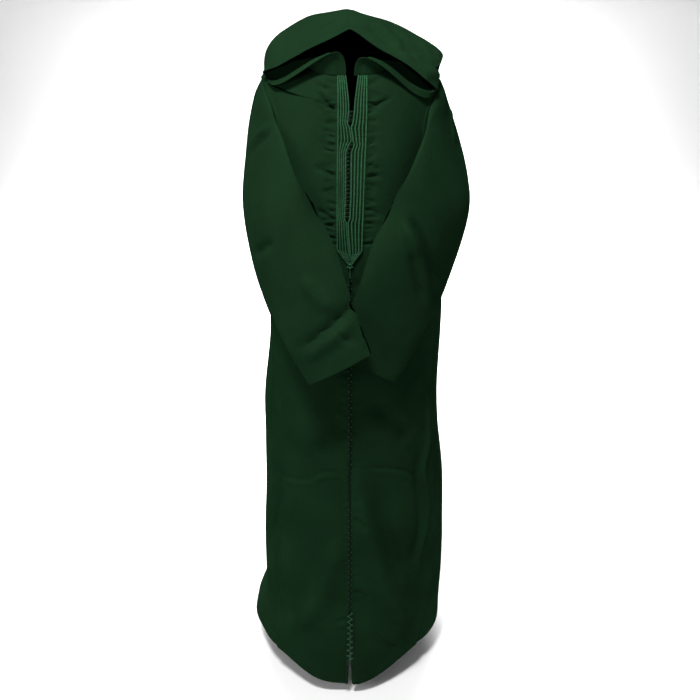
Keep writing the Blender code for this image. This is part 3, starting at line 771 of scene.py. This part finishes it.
class Bits:
    """Many small closed pieces gathered into one mesh."""

    def __init__(self):
        self.points = []
        self.faces = []

    def tube(self, path, radius):
        """A tube along a path of Vectors."""
        sides = TUBE_SIDES
        first = len(self.points)
        count = len(path)
        side = None
        for i, point in enumerate(path):
            ahead = (path[min(i + 1, count - 1)] - path[max(i - 1, 0)]).normalized()
            if side is None:
                side = ahead.orthogonal()
            side = (side - ahead * side.dot(ahead)).normalized()
            up = ahead.cross(side)
            for k in range(sides):
                turn = 2 * math.pi * k / sides
                self.points.append(point + (side * math.cos(turn) + up * math.sin(turn)) * radius)
        for a in range(first, first + (count - 1) * sides, sides):
            for k in range(sides):
                n = (k + 1) % sides
                self.faces.append((a + k, a + n, a + sides + n, a + sides + k))
        self.faces.append(tuple(first + k for k in reversed(range(sides))))
        self.faces.append(tuple(first + (count - 1) * sides + k for k in range(sides)))

    def seed(self, centre, along, across, up, long, wide, high):
        """A small pointed bead, as one stitch looks."""
        first = len(self.points)
        ring = []
        for k in range(6):
            turn = math.pi * k / 3
            ring.append(across * (math.cos(turn) * wide / 2) + up * (math.sin(turn) * high / 2))
        self.points.append(centre - along * (long / 2))
        for share in (-0.3, 0.3):
            self.points += [centre + along * (long * share) + offset for offset in ring]
        self.points.append(centre + along * (long / 2))
        for k in range(6):
            n = (k + 1) % 6
            self.faces.append((first, first + 1 + n, first + 1 + k))
            self.faces.append((first + 1 + k, first + 1 + n, first + 7 + n, first + 7 + k))
            self.faces.append((first + 7 + k, first + 7 + n, first + 13))

    def ball(self, centre, along, across, up, radius):
        """A knotted ball with the crossing strands of a turk's head."""
        first = len(self.points)
        rings, around = 7, 12
        self.points.append(centre - along * radius)
        for i in range(1, rings):
            tilt = math.pi * i / rings
            for k in range(around):
                turn = 2 * math.pi * k / around
                swell = 1 + 0.13 * math.cos(4 * turn + 3 * tilt) * math.sin(tilt)
                out = across * math.cos(turn) + up * math.sin(turn)
                self.points.append(centre + (out * math.sin(tilt) - along * math.cos(tilt)) * radius * swell)
        self.points.append(centre + along * radius)
        last = len(self.points) - 1
        for k in range(around):
            n = (k + 1) % around
            self.faces.append((first, first + 1 + n, first + 1 + k))
            for i in range(rings - 2):
                a = first + 1 + i * around
                self.faces.append((a + k, a + n, a + around + n, a + around + k))
            a = last - around
            self.faces.append((last, a + k, a + n))

    def twist(self, path, facing, radius, pitch):
        """A two-ply cord: two strands that wind round each other along a path with its normals."""
        places = [0.0]
        for a, b in zip(path, path[1:]):
            places.append(places[-1] + (b - a).length)
        steps = max(6, int(places[-1] / pitch * 6))
        lines = ([], [])
        i = 0
        for k in range(steps + 1):
            at = places[-1] * k / steps
            while i < len(path) - 2 and places[i + 1] < at:
                i += 1
            share = (at - places[i]) / max(places[i + 1] - places[i], 1e-9)
            centre = path[i].lerp(path[i + 1], share)
            up = facing[i].lerp(facing[i + 1], share).normalized()
            across = up.cross((path[i + 1] - path[i]).normalized())
            for ply, line in enumerate(lines):
                turn = 2 * math.pi * at / pitch + math.pi * ply
                line.append(centre + (across * math.cos(turn) + up * math.sin(turn)) * (radius * 0.5))
        for line in lines:
            self.tube(line, radius * 0.56)

    def made(self, name, material, node=None):
        mesh_piece(name, self.points, self.faces, material, node, TRIM_SHARP)


def on_surface(x, drop, lift):
    """A point over the front at x and drop, and the front's normal there."""
    point = on_front(x, drop)
    tiny = 0.001
    down = on_front(x, drop + tiny) - on_front(x, drop - tiny)
    across = on_front(x + tiny, drop) - on_front(x - tiny, drop)
    normal = across.cross(down).normalized()
    if normal.y > 0:
        normal.negate()
    return point + normal * lift, normal


def stitch_line(bits, points, facing, pitch=0.0032, long=0.0024, wide=0.0007, lift=0.0009):
    """Stitches along a line of an array of points with its normals."""
    line = [Vector(point) for point in points]
    ups = [Vector(normal) for normal in facing]
    spare = 0.0
    for (a, b), up in zip(zip(line, line[1:]), ups):
        length = (b - a).length
        if length < 1e-9:
            continue
        along = (b - a) / length
        across = up.cross(along).normalized()
        at = spare
        while at < length:
            bits.seed(a + along * at + up * lift, along, across, up, long, wide, wide * 0.8)
            at += pitch
        spare = at - length


def line_at(points, facing, distances, value):
    """The line across a grid, and its normals, at a given distance from its top or bottom edge."""
    index = np.abs(distances - value).argmin(0)
    return points[index, range(points.shape[1])], facing[index, range(points.shape[1])]


def seam_dip(distance, deep=0.0012, width=0.0022):
    """How the cloth turns down into a seam at its edge."""
    return -deep * np.exp(-((distance / width) ** 2))


def band(distance, width, step=0.0006):
    """A turned-up hem: a little proud, with a groove where it is sewn."""
    proud = step / (1 + np.exp((distance - width) / 0.0008))
    return proud - step * 1.6 * np.exp(-(((distance - width) / 0.0013) ** 2))


# ---- creases, each as width, height and the points it runs through
FRONT_CREASES = {
    "right": (
        (0.005, -0.0016, ((-0.186, -0.109, -0.922), (-0.145, -0.158, -0.907), (-0.096, -0.189, -0.890),
            (-0.059, -0.202, -0.862), (-0.009, -0.208, -0.857))),
        (0.005, 0.0014, ((-0.186, -0.109, -0.934), (-0.145, -0.158, -0.919), (-0.096, -0.189, -0.902),
            (-0.059, -0.202, -0.874), (-0.009, -0.208, -0.869))),
        (0.006, 0.0046, ((-0.182, -0.110, -0.885), (-0.186, -0.109, -0.932), (-0.179, -0.124, -0.968),
            (-0.185, -0.121, -1.031), (-0.190, -0.113, -1.098), (-0.186, -0.129, -1.136),
            (-0.188, -0.130, -1.213), (-0.179, -0.156, -1.269), (-0.173, -0.182, -1.352))),
        (0.014, -0.0040, ((-0.168, -0.130, -0.890), (-0.168, -0.136, -0.968), (-0.170, -0.138, -1.031),
            (-0.172, -0.140, -1.136), (-0.166, -0.160, -1.269), (-0.158, -0.190, -1.352))),
        (0.026, -0.0080, ((-0.004, -0.200, -0.732), (-0.040, -0.200, -0.778), (-0.076, -0.194, -0.830))),
        (0.028, 0.0110, ((-0.164, -0.190, -1.351), (-0.083, -0.226, -1.239), (-0.048, -0.224, -1.127),
            (-0.028, -0.225, -1.040))),
        (0.005, -0.0022, ((-0.034, -0.242, -1.275), (-0.004, -0.244, -1.262))),
        (0.006, 0.0020, ((-0.030, -0.242, -1.288), (-0.004, -0.244, -1.275))),
        (0.0035, -0.0020, ((-0.060, -0.130, -0.152), (-0.025, -0.135, -0.159))),
        (0.0045, -0.0024, ((-0.072, -0.136, -0.198), (-0.045, -0.140, -0.206),
            (-0.025, -0.145, -0.218))),
        (0.0045, -0.0022, ((-0.064, -0.149, -0.278), (-0.045, -0.152, -0.288),
            (-0.026, -0.158, -0.301))),
        (0.003, -0.0018, ((-0.042, -0.157, -0.309), (-0.026, -0.160, -0.316))),
        (0.004, -0.0030, ((-0.062, -0.105, -0.062), (-0.045, -0.112, -0.080), (-0.025, -0.121, -0.099))),
        (0.005, 0.0022, ((-0.068, -0.105, -0.068), (-0.052, -0.112, -0.085), (-0.030, -0.121, -0.108))),
        (0.004, -0.0024, ((-0.070, -0.095, -0.047), (-0.038, -0.107, -0.060))),
    ),
    "left": (
        (0.005, -0.0016, ((0.027, -0.207, -0.848), (0.072, -0.198, -0.854), (0.119, -0.180, -0.872),
            (0.149, -0.162, -0.898), (0.170, -0.144, -0.902))),
        (0.005, 0.0014, ((0.027, -0.207, -0.860), (0.072, -0.198, -0.866), (0.119, -0.180, -0.884),
            (0.149, -0.162, -0.910), (0.170, -0.144, -0.914))),
        (0.005, 0.0050, ((0.176, -0.120, -0.690), (0.175, -0.122, -0.721), (0.179, -0.122, -0.816),
            (0.172, -0.141, -0.899), (0.184, -0.132, -0.974), (0.186, -0.138, -1.053),
            (0.172, -0.163, -1.119), (0.165, -0.174, -1.224))),
        (0.016, -0.0045, ((0.160, -0.140, -0.816), (0.158, -0.150, -0.899), (0.168, -0.150, -0.974),
            (0.170, -0.155, -1.053), (0.155, -0.175, -1.119), (0.148, -0.185, -1.224))),
        (0.026, 0.0130, ((0.020, -0.210, -0.880), (0.057, -0.218, -1.071), (0.098, -0.216, -1.210),
            (0.153, -0.189, -1.330))),
        (0.026, -0.0080, ((0.050, -0.208, -0.880), (0.095, -0.208, -1.050), (0.135, -0.200, -1.190))),
        (0.022, -0.0080, ((0.047, -0.193, -0.681), (0.100, -0.181, -0.751), (0.141, -0.161, -0.803))),
        (0.006, -0.0024, ((0.009, -0.216, -0.973), (0.037, -0.216, -1.002))),
        (0.006, -0.0024, ((0.012, -0.234, -1.182), (0.049, -0.232, -1.213))),
        (0.007, -0.0032, ((0.049, -0.240, -1.303), (0.096, -0.229, -1.371), (0.123, -0.215, -1.393))),
        (0.0035, -0.0020, ((0.033, -0.133, -0.155), (0.056, -0.130, -0.149))),
        (0.0045, -0.0022, ((0.033, -0.144, -0.214), (0.062, -0.140, -0.213))),
        (0.003, -0.0018, ((0.033, -0.148, -0.240), (0.049, -0.147, -0.244))),
        (0.0045, -0.0022, ((0.031, -0.153, -0.273), (0.060, -0.152, -0.288))),
        (0.003, -0.0020, ((0.030, -0.157, -0.300), (0.050, -0.156, -0.309))),
        (0.0045, -0.0028, ((0.036, -0.118, -0.091), (0.056, -0.112, -0.084), (0.078, -0.106, -0.072))),
        (0.004, -0.0022, ((0.036, -0.101, -0.048), (0.060, -0.093, -0.039))),
    ),
}
SLEEVE_CREASES = {
    "right": (
        (0.007, 0.0026, ((-0.206, -0.040, -0.190), (-0.191, -0.060, -0.158), (-0.158, -0.089, -0.124))),
        (0.007, -0.0022, ((-0.200, -0.055, -0.200), (-0.182, -0.075, -0.168), (-0.152, -0.098, -0.136))),
        (0.010, -0.0028, ((-0.197, -0.144, -0.374), (-0.151, -0.185, -0.333))),
        (0.009, -0.0034, ((-0.107, -0.232, -0.548), (-0.057, -0.246, -0.503), (-0.018, -0.240, -0.470),
            (0.010, -0.225, -0.440))),
        (0.013, 0.0036, ((-0.090, -0.238, -0.562), (-0.040, -0.250, -0.515), (0.004, -0.245, -0.478))),
        (0.006, -0.0024, ((-0.030, -0.249, -0.493), (-0.014, -0.254, -0.508), (0.006, -0.255, -0.512))),
        (0.016, 0.0034, ((-0.094, -0.218, -0.392), (-0.062, -0.232, -0.428), (-0.031, -0.242, -0.458))),
    ),
    "left": (
        (0.009, -0.0040, ((0.114, -0.184, -0.282), (0.147, -0.182, -0.342), (0.187, -0.151, -0.454))),
        (0.009, 0.0030, ((0.102, -0.184, -0.292), (0.134, -0.185, -0.352), (0.172, -0.160, -0.462))),
        (0.006, 0.0026, ((0.207, -0.006, -0.103), (0.211, -0.030, -0.130), (0.211, -0.048, -0.165))),
        (0.012, -0.0030, ((0.121, -0.190, -0.348), (0.135, -0.185, -0.400), (0.155, -0.171, -0.470))),
    ),
}
HOOD_CREASES = {
    "right": (
        (0.006, 0.0022, ((-0.108, 0.001, 0.045), (-0.088, -0.017, 0.043), (-0.079, -0.032, 0.036))),
        (0.006, -0.0022, ((-0.074, -0.027, 0.041), (-0.050, -0.020, 0.050), (-0.021, -0.003, 0.063))),
        (0.012, -0.0030, ((-0.120, 0.020, 0.040), (-0.128, -0.010, 0.018), (-0.135, -0.040, -0.006))),
    ),
    "left": (
        (0.010, 0.0040, ((0.050, 0.020, 0.060), (0.082, -0.012, 0.037), (0.096, -0.020, 0.027),
            (0.107, -0.050, 0.008), (0.122, -0.062, -0.012))),
        (0.010, -0.0034, ((0.066, 0.010, 0.052), (0.096, -0.010, 0.034), (0.112, -0.036, 0.014),
            (0.132, -0.060, -0.010))),
        (0.009, -0.0030, ((0.031, -0.006, 0.057), (0.058, -0.024, 0.039), (0.087, -0.039, 0.018))),
        (0.010, 0.0028, ((0.139, 0.006, 0.024), (0.158, -0.017, 0.003), (0.167, -0.050, -0.028))),
    ),
}
# On the back, which hangs freely: width, height, and points as x and drop
BACK_CREASES = (
    (0.022, 0.0070, ((-0.110, 0.42), (-0.120, 0.75), (-0.090, 1.10), (-0.100, 1.40))),
    (0.024, -0.0065, ((-0.050, 0.55), (-0.030, 0.90), (-0.040, 1.35))),
    (0.022, 0.0070, ((0.020, 0.60), (0.040, 0.95), (0.020, 1.40))),
    (0.022, -0.0065, ((0.085, 0.45), (0.090, 0.85), (0.120, 1.35))),
    (0.007, -0.0030, ((-0.150, 0.92), (-0.060, 0.88), (0.040, 0.87), (0.140, 0.91))),
    (0.007, 0.0026, ((-0.150, 0.933), (-0.060, 0.893), (0.040, 0.883), (0.140, 0.923))),
    (0.012, -0.0034, ((-0.130, 0.22), (-0.080, 0.27), (-0.030, 0.28))),
    (0.012, -0.0034, ((0.140, 0.24), (0.080, 0.29), (0.040, 0.30))),
)


def small_puckers(side, edge, top, bottom, pitch, longest, deep):
    """Short troughs that run out from an edge of the front, as gathered stitching makes them."""
    lines = []
    drop = top
    while drop < bottom:
        start = edge(drop)
        long = random.uniform(0.45, 1.0) * longest
        slope = random.uniform(-0.45, 0.30)
        points = []
        for k in range(3):
            x = start + SIGN[side] * long * k / 2
            points.append(tuple(on_front(x, drop + slope * long * k / 2)))
        lines.append((0.0034, -deep * random.uniform(0.5, 1.0), points))
        drop += pitch * random.uniform(0.7, 1.3)
    return lines


# ---- the cloth pieces
FROM_AXIS = np.array([1.0, 1.0, 0.0])  # leaves of a place only its way out from the body's axis
HEM_BAND = 0.026
CUFF_BAND = 0.040
HOOD_BAND = 0.011
FRONT_STRENGTH, SLEEVE_STRENGTH, HOOD_STRENGTH = 1.8, 2.6, 1.5  # how far each cloth's creases are worked up
HOOD_TURNED_ROWS = 3  # where the hood's edge is turned in, its inside shows the face of the cloth and not the painted shade
STITCHES = Bits()


def facing_away(facing, out):
    """The normals, turned where need be so that they look the way out."""
    wrong = np.einsum("ijk,ijk->ij", out, facing) < 0
    return np.where(wrong[..., None], -facing, facing)


def hem_stitches(middle, facing, hem):
    """The stitches that hold up the hem of a panel of the body."""
    facing = facing_away(facing, middle * FROM_AXIS)
    stitch_line(STITCHES, *line_at(middle, facing, hem, HEM_BAND))


def make_front(side):
    points = as_arrays(front_grid(side))
    if side == "right":
        points = points[:, ::-1]
    centre, outer = ("last", "first") if side == "right" else ("first", "last")
    lines = list(FRONT_CREASES[side])
    lines += small_puckers(
        side, lambda drop: profile(BRAID_EDGE[side], drop)[0],
        top=0.05, bottom=0.35, pitch=0.0105, longest=0.036, deep=0.0026,
    )
    lines += small_puckers(
        side, lambda drop: SIGN[side] * 0.002,
        top=0.42, bottom=1.24, pitch=0.0155, longest=0.022, deep=0.0017,
    )
    lift = FRONT_STRENGTH * sum(crease(points, path, width, height) for width, height, path in lines)
    lift += ripple(points, 0.0090, 0.10, 1 if side == "right" else 2)
    hem = edge_distance(points, "bottom")
    middle, rim = edge_distance(points, centre), edge_distance(points, outer)
    lift *= np.clip(rim / 0.008, 0.1, 1)
    lift = lift * np.clip((middle + 0.004) / 0.012, 0.25, 1)
    lift += seam_dip(rim) + seam_dip(middle, 0.0020, 0.0030) + band(hem, HEM_BAND)
    piece, middle_points, facing = cloth(f"front_{side}", points, lift, looks_out(points))
    hem_stitches(middle_points, facing, hem)
    return piece


def make_back():
    points = as_arrays(back_grid())
    lift = ripple(points, 0.0055, 0.12, 3)
    for width, height, path in BACK_CREASES:
        spots = []
        for x, drop in path:
            side = "right" if x < 0 else "left"
            spots.append(tuple(body_point(side, "back", angle_at(side, drop, abs(x)), drop)))
        lift += crease(points, spots, width, height)
    hem = edge_distance(points, "bottom")
    rims = np.minimum(edge_distance(points, "first"), edge_distance(points, "last"))
    lift *= np.clip(rims / 0.025, 0.1, 1)
    lift *= np.clip(edge_distance(points, "top") / 0.05, 0.0, 1)
    lift += seam_dip(rims) + band(hem, HEM_BAND)
    piece, middle_points, facing = cloth("back", points, lift, looks_out(points))
    hem_stitches(middle_points, facing, hem)
    return piece


def looks_out(points, closed=False):
    """Whether the grid's normals look out of the garment: from its axis, or from a sleeve's own middle."""
    out = points - points.mean(1, keepdims=True) if closed else points * FROM_AXIS
    return np.einsum("ijk,ijk->ij", out, normals_of(points, closed)).mean() > 0


def make_gore(side):
    points = as_arrays(gore_grid(side))
    hem = edge_distance(points, "bottom")
    rims = np.minimum(edge_distance(points, "first"), edge_distance(points, "last"))
    lift = ripple(points, 0.0080, 0.09, 4 if side == "right" else 5) * np.clip(rims / 0.02, 0.1, 1)
    lift += seam_dip(rims) + band(hem, HEM_BAND)
    piece, middle_points, facing = cloth(f"gore_{side}", points, lift, looks_out(points))
    hem_stitches(middle_points, facing, hem)
    return piece


def make_sleeve(side):
    points = sleeve_grid(side, SLEEVE_ROWS)
    cuff, head = edge_distance(points, "bottom"), edge_distance(points, "top")
    lift = ripple(points, 0.0045, 0.07, 6 if side == "right" else 7)
    lines = SLEEVE_CREASES[side]
    lift += SLEEVE_STRENGTH * sum(crease(points, path, width, height) for width, height, path in lines)
    lift *= np.clip(head / 0.03, 0.1, 1)
    lift += seam_dip(head) + band(cuff, CUFF_BAND)
    fold = (np.array(ring_turns()) - 180) / 180 * SLEEVE_HALF_ROUND
    lift += 0.0014 * np.exp(-((fold / 0.004) ** 2))
    piece, middle_points, facing = cloth(f"sleeve_{side}", points, lift, looks_out(points, True), True)
    facing = facing_away(facing, middle_points - middle_points.mean(1, keepdims=True))
    line, ups = line_at(middle_points, facing, cuff, CUFF_BAND)
    stitch_line(STITCHES, np.concatenate([line, line[:1]]), ups)
    return piece


def make_hood(side):
    points = hood_grid(side)
    face = edge_distance(points, "top")
    lift = ripple(points, 0.0040, 0.06, 8 if side == "right" else 9)
    lines = HOOD_CREASES[side]
    lift += HOOD_STRENGTH * sum(crease(points, path, width, height) for width, height, path in lines)
    ridge = edge_distance(points, "last")
    lift *= np.clip(ridge / 0.02, 0.1, 1) * np.clip(edge_distance(points, "first") / 0.02, 0.1, 1)
    lift += seam_dip(ridge, 0.0010) + band(face, HOOD_BAND, 0.0012)
    facing = normals_of(points, False)
    outward = facing[HOOD_ROWS // 2, HOOD_COLUMNS * 3 // 4, 2] > 0
    piece, middle_points, facing = cloth(f"hood_{side}", points, lift, outward, turned_rows=HOOD_TURNED_ROWS)
    if facing[HOOD_ROWS // 2, HOOD_COLUMNS * 3 // 4, 2] < 0:
        facing = -facing
    stitch_line(STITCHES, *line_at(middle_points, facing, face, HOOD_BAND))
    return piece


# ---- braids, knots, seam and vent
CORDS = 5
CORD_RADIUS = {"right": 0.0012, "left": 0.0015}
CORD_PITCH = 0.0064
KNOT_PITCH = 0.0074
KNOT_RADIUS = 0.0040


def cord_place(side, share, drop):
    """Where a cord of the placket's braid runs at a drop: share is 0 at the opening and 1 at the outside."""
    inner = inner_edge(side, drop)
    outer = profile(BRAID_EDGE[side], drop)[0]
    return inner + (outer - inner) * (0.05 + 0.90 * share)


def cord_path(side, share, lift):
    """The path of one cord: down beside the opening, then slanting in to the point of the placket."""
    nested = (1 - share) * BRAID_WIDTH
    tip = POINT_DROP - nested * 0.9
    slope = (POINT_DROP - PLACKET_DROP) / BRAID_WIDTH
    path, ups = [], []
    drop = NECK_FRONT_DROP + 0.001
    while drop < tip:
        x = cord_place(side, share, drop)
        limit = SIGN[side] * max((tip - drop) / slope, 0.0)
        if abs(x) > abs(limit):
            x = limit
        point, normal = on_surface(x, drop, lift)
        path.append(point)
        ups.append(normal)
        drop += 0.0025
    return path, ups


def make_placket(side):
    bits = Bits()
    for k in range(CORDS):
        path, ups = cord_path(side, k / (CORDS - 1), 0.0018)
        bits.twist(path, ups, CORD_RADIUS[side], CORD_PITCH)
    dots = Bits()
    for k in range(CORDS - 1):
        path, ups = cord_path(side, (k + 0.5) / (CORDS - 1), 0.0024)
        stitch_line(dots, path, ups, 0.0066, 0.0034, 0.0016, 0.0)
    dots.made(f"placket_braid_{side}_stitches", DARK_THREAD)
    bits.made(f"placket_braid_{side}_cords", BRAID, f"placket_braid_{side}")


def make_knots():
    bits, loops = Bits(), Bits()
    drop = V_DROP + 0.004
    while drop < PLACKET_DROP:
        shut = profile(CENTRE_OPENING, drop)[0] < OPENING_GAP * 0.9
        x = profile(KNOT_LINE, drop)[0]
        centre, up = on_surface(x, drop, -0.0035 if shut else 0.0022)
        along = Vector((0, -up.z, up.y)).normalized()
        across = up.cross(along).normalized()
        bits.ball(centre, along, across, up, KNOT_RADIUS if not shut else KNOT_RADIUS * 0.9)
        for hand in (-1, 1):
            loop = []
            for k in range(9):
                turn = math.pi * k / 8
                out = across * (hand * (0.0016 + 0.0050 * math.sin(turn)))
                high = up * (0.0010 - 0.0012 * math.sin(turn))
                loop.append(centre + out + along * (0.0022 * math.cos(turn)) + high)
            loops.tube(loop, 0.0006)
        drop += KNOT_PITCH
    loops.made("placket_loops", BRAID)
    bits.made("placket_knots", DARK_THREAD, "knot_row")


def make_point_knot():
    """The small knot and tassel stitches that finish the placket."""
    bits = Bits()
    for x, drop, radius in ((0.0, POINT_DROP - 0.004, 0.0026), (0.0, POINT_DROP + 0.003, 0.0022),
                            (-0.0042, POINT_DROP + 0.001, 0.0018), (0.0042, POINT_DROP + 0.001, 0.0018)):
        centre, up = on_surface(x, drop, 0.0018)
        along = Vector((0, -up.z, up.y)).normalized()
        bits.ball(centre, along, up.cross(along), up, radius)
    path = [on_surface(0.0, POINT_DROP + 0.004 + 0.003 * k, 0.0012)[0] for k in range(8)]
    bits.tube(path, 0.0008)
    bits.made("placket_point", BRAID)


def make_seam():
    """The worked seam down the centre front: a fine cord with a row of stitches across it."""
    cord, pale, dark = Bits(), Bits(), Bits()
    drops = [POINT_DROP + 0.026 + 0.004 * k for k in range(int((VENT_DROP - POINT_DROP - 0.03) / 0.004))]
    found = [on_surface(0.0, drop, 0.0004) for drop in drops]
    cord.twist([point for point, _ in found], [up for _, up in found], 0.0008, 0.003)
    drop = drops[0]
    k = 0
    while drop < VENT_DROP - 0.004:
        point, up = on_surface(0.0006 * (-1) ** k, drop, 0.0012)
        along = Vector((0, -up.z, up.y)).normalized()
        dark.seed(point, along, up.cross(along), up, 0.0056, 0.0038, 0.0020)
        light, up = on_surface(0.0030 * (-1) ** k, drop + 0.0039, 0.0010)
        pale.seed(light, along, up.cross(along), up, 0.0034, 0.0012, 0.0010)
        drop += 0.0078
        k += 1
    cord.made("centre_seam_cord", CLOTH_THREAD, "seam_cord")
    pale.made("centre_seam_stitches", PALE_THREAD)
    dark.made("centre_seam_dots", DARK_THREAD)


def make_vent(side):
    bits = Bits()
    for k, share in enumerate((0.0016, 0.0042, 0.0068)):
        path, ups = [], []
        drop = VENT_DROP - 0.006
        while drop < FRONT_LENGTH - 0.002:
            x = inner_edge(side, drop) + SIGN[side] * share
            point, up = on_surface(x, drop, 0.0016)
            path.append(point)
            ups.append(up)
            drop += 0.003
        bits.twist(path, ups, 0.0010, 0.004 + 0.0004 * k)
    bits.made(f"vent_braid_{side}_cords", CLOTH_THREAD, f"vent_braid_{side}")


def make_lacing():
    """Thread laced to and fro over the top of the vent, then single threads across it lower down."""
    bits, lights = Bits(), Bits()
    drop = VENT_DROP - 0.004
    k = 0
    while drop < LACING_DROP + 0.012:
        hand = 1 if k % 2 == 0 else -1
        reach_out = 0.0045 + profile(CENTRE_OPENING, drop)[0]
        ends = []
        for share in range(9):
            t = share / 8
            x = hand * reach_out * (1 - 2 * t)
            ends.append(on_surface(x, drop + 0.0085 * t, 0.0030 + 0.0012 * math.sin(math.pi * t))[0])
        bits.tube(ends, 0.00085)
        point, up = on_surface(hand * reach_out, drop, 0.0030)
        along = Vector((0, -up.z, up.y)).normalized()
        lights.ball(point, along, up.cross(along), up, 0.0017)
        drop += 0.0085
        k += 1
    for rung in (LACING_DROP + 0.047, LACING_DROP + 0.071):
        half = profile(CENTRE_OPENING, rung)[0] + 0.002
        path = []
        for k in range(9):
            sag = 0.0015 * math.sin(k * math.pi / 8)
            path.append(on_surface(half * (k / 4 - 1), rung + sag, 0.001)[0])
        bits.tube(path, 0.0008)
    bits.made("vent_lacing_thread", BRAID, "vent_lacing")
    lights.made("vent_lacing_knots", PALE_THREAD)


fronts = {side: make_front(side) for side in ("right", "left")}
back = make_back()
gores = {side: make_gore(side) for side in ("right", "left")}
sleeves = {side: make_sleeve(side) for side in ("right", "left")}
hoods = {side: make_hood(side) for side in ("right", "left")}
for side in ("right", "left"):
    make_placket(side)
    make_vent(side)
make_knots()
make_point_knot()
make_seam()
make_lacing()
STITCHES.made("hem_stitches", CLOTH_THREAD)


# ---- camera, floor and light
def make_stage():
    """A pale floor that curves up behind into a plain backdrop."""
    floor_z, behind, round_it, high, half = -1.50, 3.2, 1.6, 6.0, 9.0
    outline = [(-7.0, floor_z), (behind, floor_z)]
    for k in range(1, 13):
        turn = math.pi / 2 * k / 12
        outline.append((behind + round_it * math.sin(turn), floor_z + round_it * (1 - math.cos(turn))))
    outline.append((behind + round_it, high))
    points = [Vector((x, y, z)) for y, z in outline for x in (-half, half)]
    faces = [(2 * k, 2 * k + 1, 2 * k + 3, 2 * k + 2) for k in range(len(outline) - 1)]
    mesh = bpy.data.meshes.new("floor")
    mesh.from_pydata([tuple(point) for point in points], [], faces)
    mesh.shade_smooth()
    floor = bpy.data.objects.new("floor", mesh)
    bpy.context.scene.collection.objects.link(floor)
    material = bpy.data.materials.new("pale_floor")
    material.use_nodes = True
    shader = material.node_tree.nodes["Principled BSDF"]
    shader.inputs["Base Color"].default_value = (0.94, 0.94, 0.94, 1.0)
    shader.inputs["Roughness"].default_value = 0.9
    mesh.materials.append(material)


def make_camera():
    data = bpy.data.cameras.new("camera")
    data.sensor_width = 36.0
    data.lens = 36.0
    camera = bpy.data.objects.new("camera", data)
    camera.location = (0.0, -1.515, 0.054)
    camera.rotation_euler = (math.radians(65), 0.0, 0.0)
    bpy.context.scene.collection.objects.link(camera)
    bpy.context.scene.camera = camera


def make_light(name, place, aim, size, power):
    data = bpy.data.lights.new(name, "AREA")
    data.shape = "DISK"
    data.size = size
    data.energy = power
    lamp = bpy.data.objects.new(name, data)
    lamp.location = place
    lamp.rotation_euler = (Vector(aim) - Vector(place)).to_track_quat("-Z", "Y").to_euler()
    lamp.visible_camera = False
    bpy.context.scene.collection.objects.link(lamp)


def make_world():
    world = bpy.data.worlds.new("studio")
    world.use_nodes = True
    sky = world.node_tree.nodes["Background"]
    sky.inputs["Color"].default_value = (1.0, 1.0, 1.0, 1.0)
    sky.inputs["Strength"].default_value = 0.20
    bpy.context.scene.world = world
    bpy.context.scene.view_settings.view_transform = "Standard"


make_stage()
make_camera()
make_light("key", (-0.40, -0.95, 1.70), (0.0, 0.0, -0.35), 0.5, 84.0)
make_light("fill", (-1.5, -1.3, -0.1), (0.0, 0.0, -0.9), 0.6, 10.0)
make_light("top", (0.3, 0.2, 1.9), (0.0, 0.0, -0.2), 0.8, 5.0)
make_light("floor_wash", (0.0, 2.6, 0.35), (0.0, 2.6, -1.5), 3.0, 230.0)
make_world()
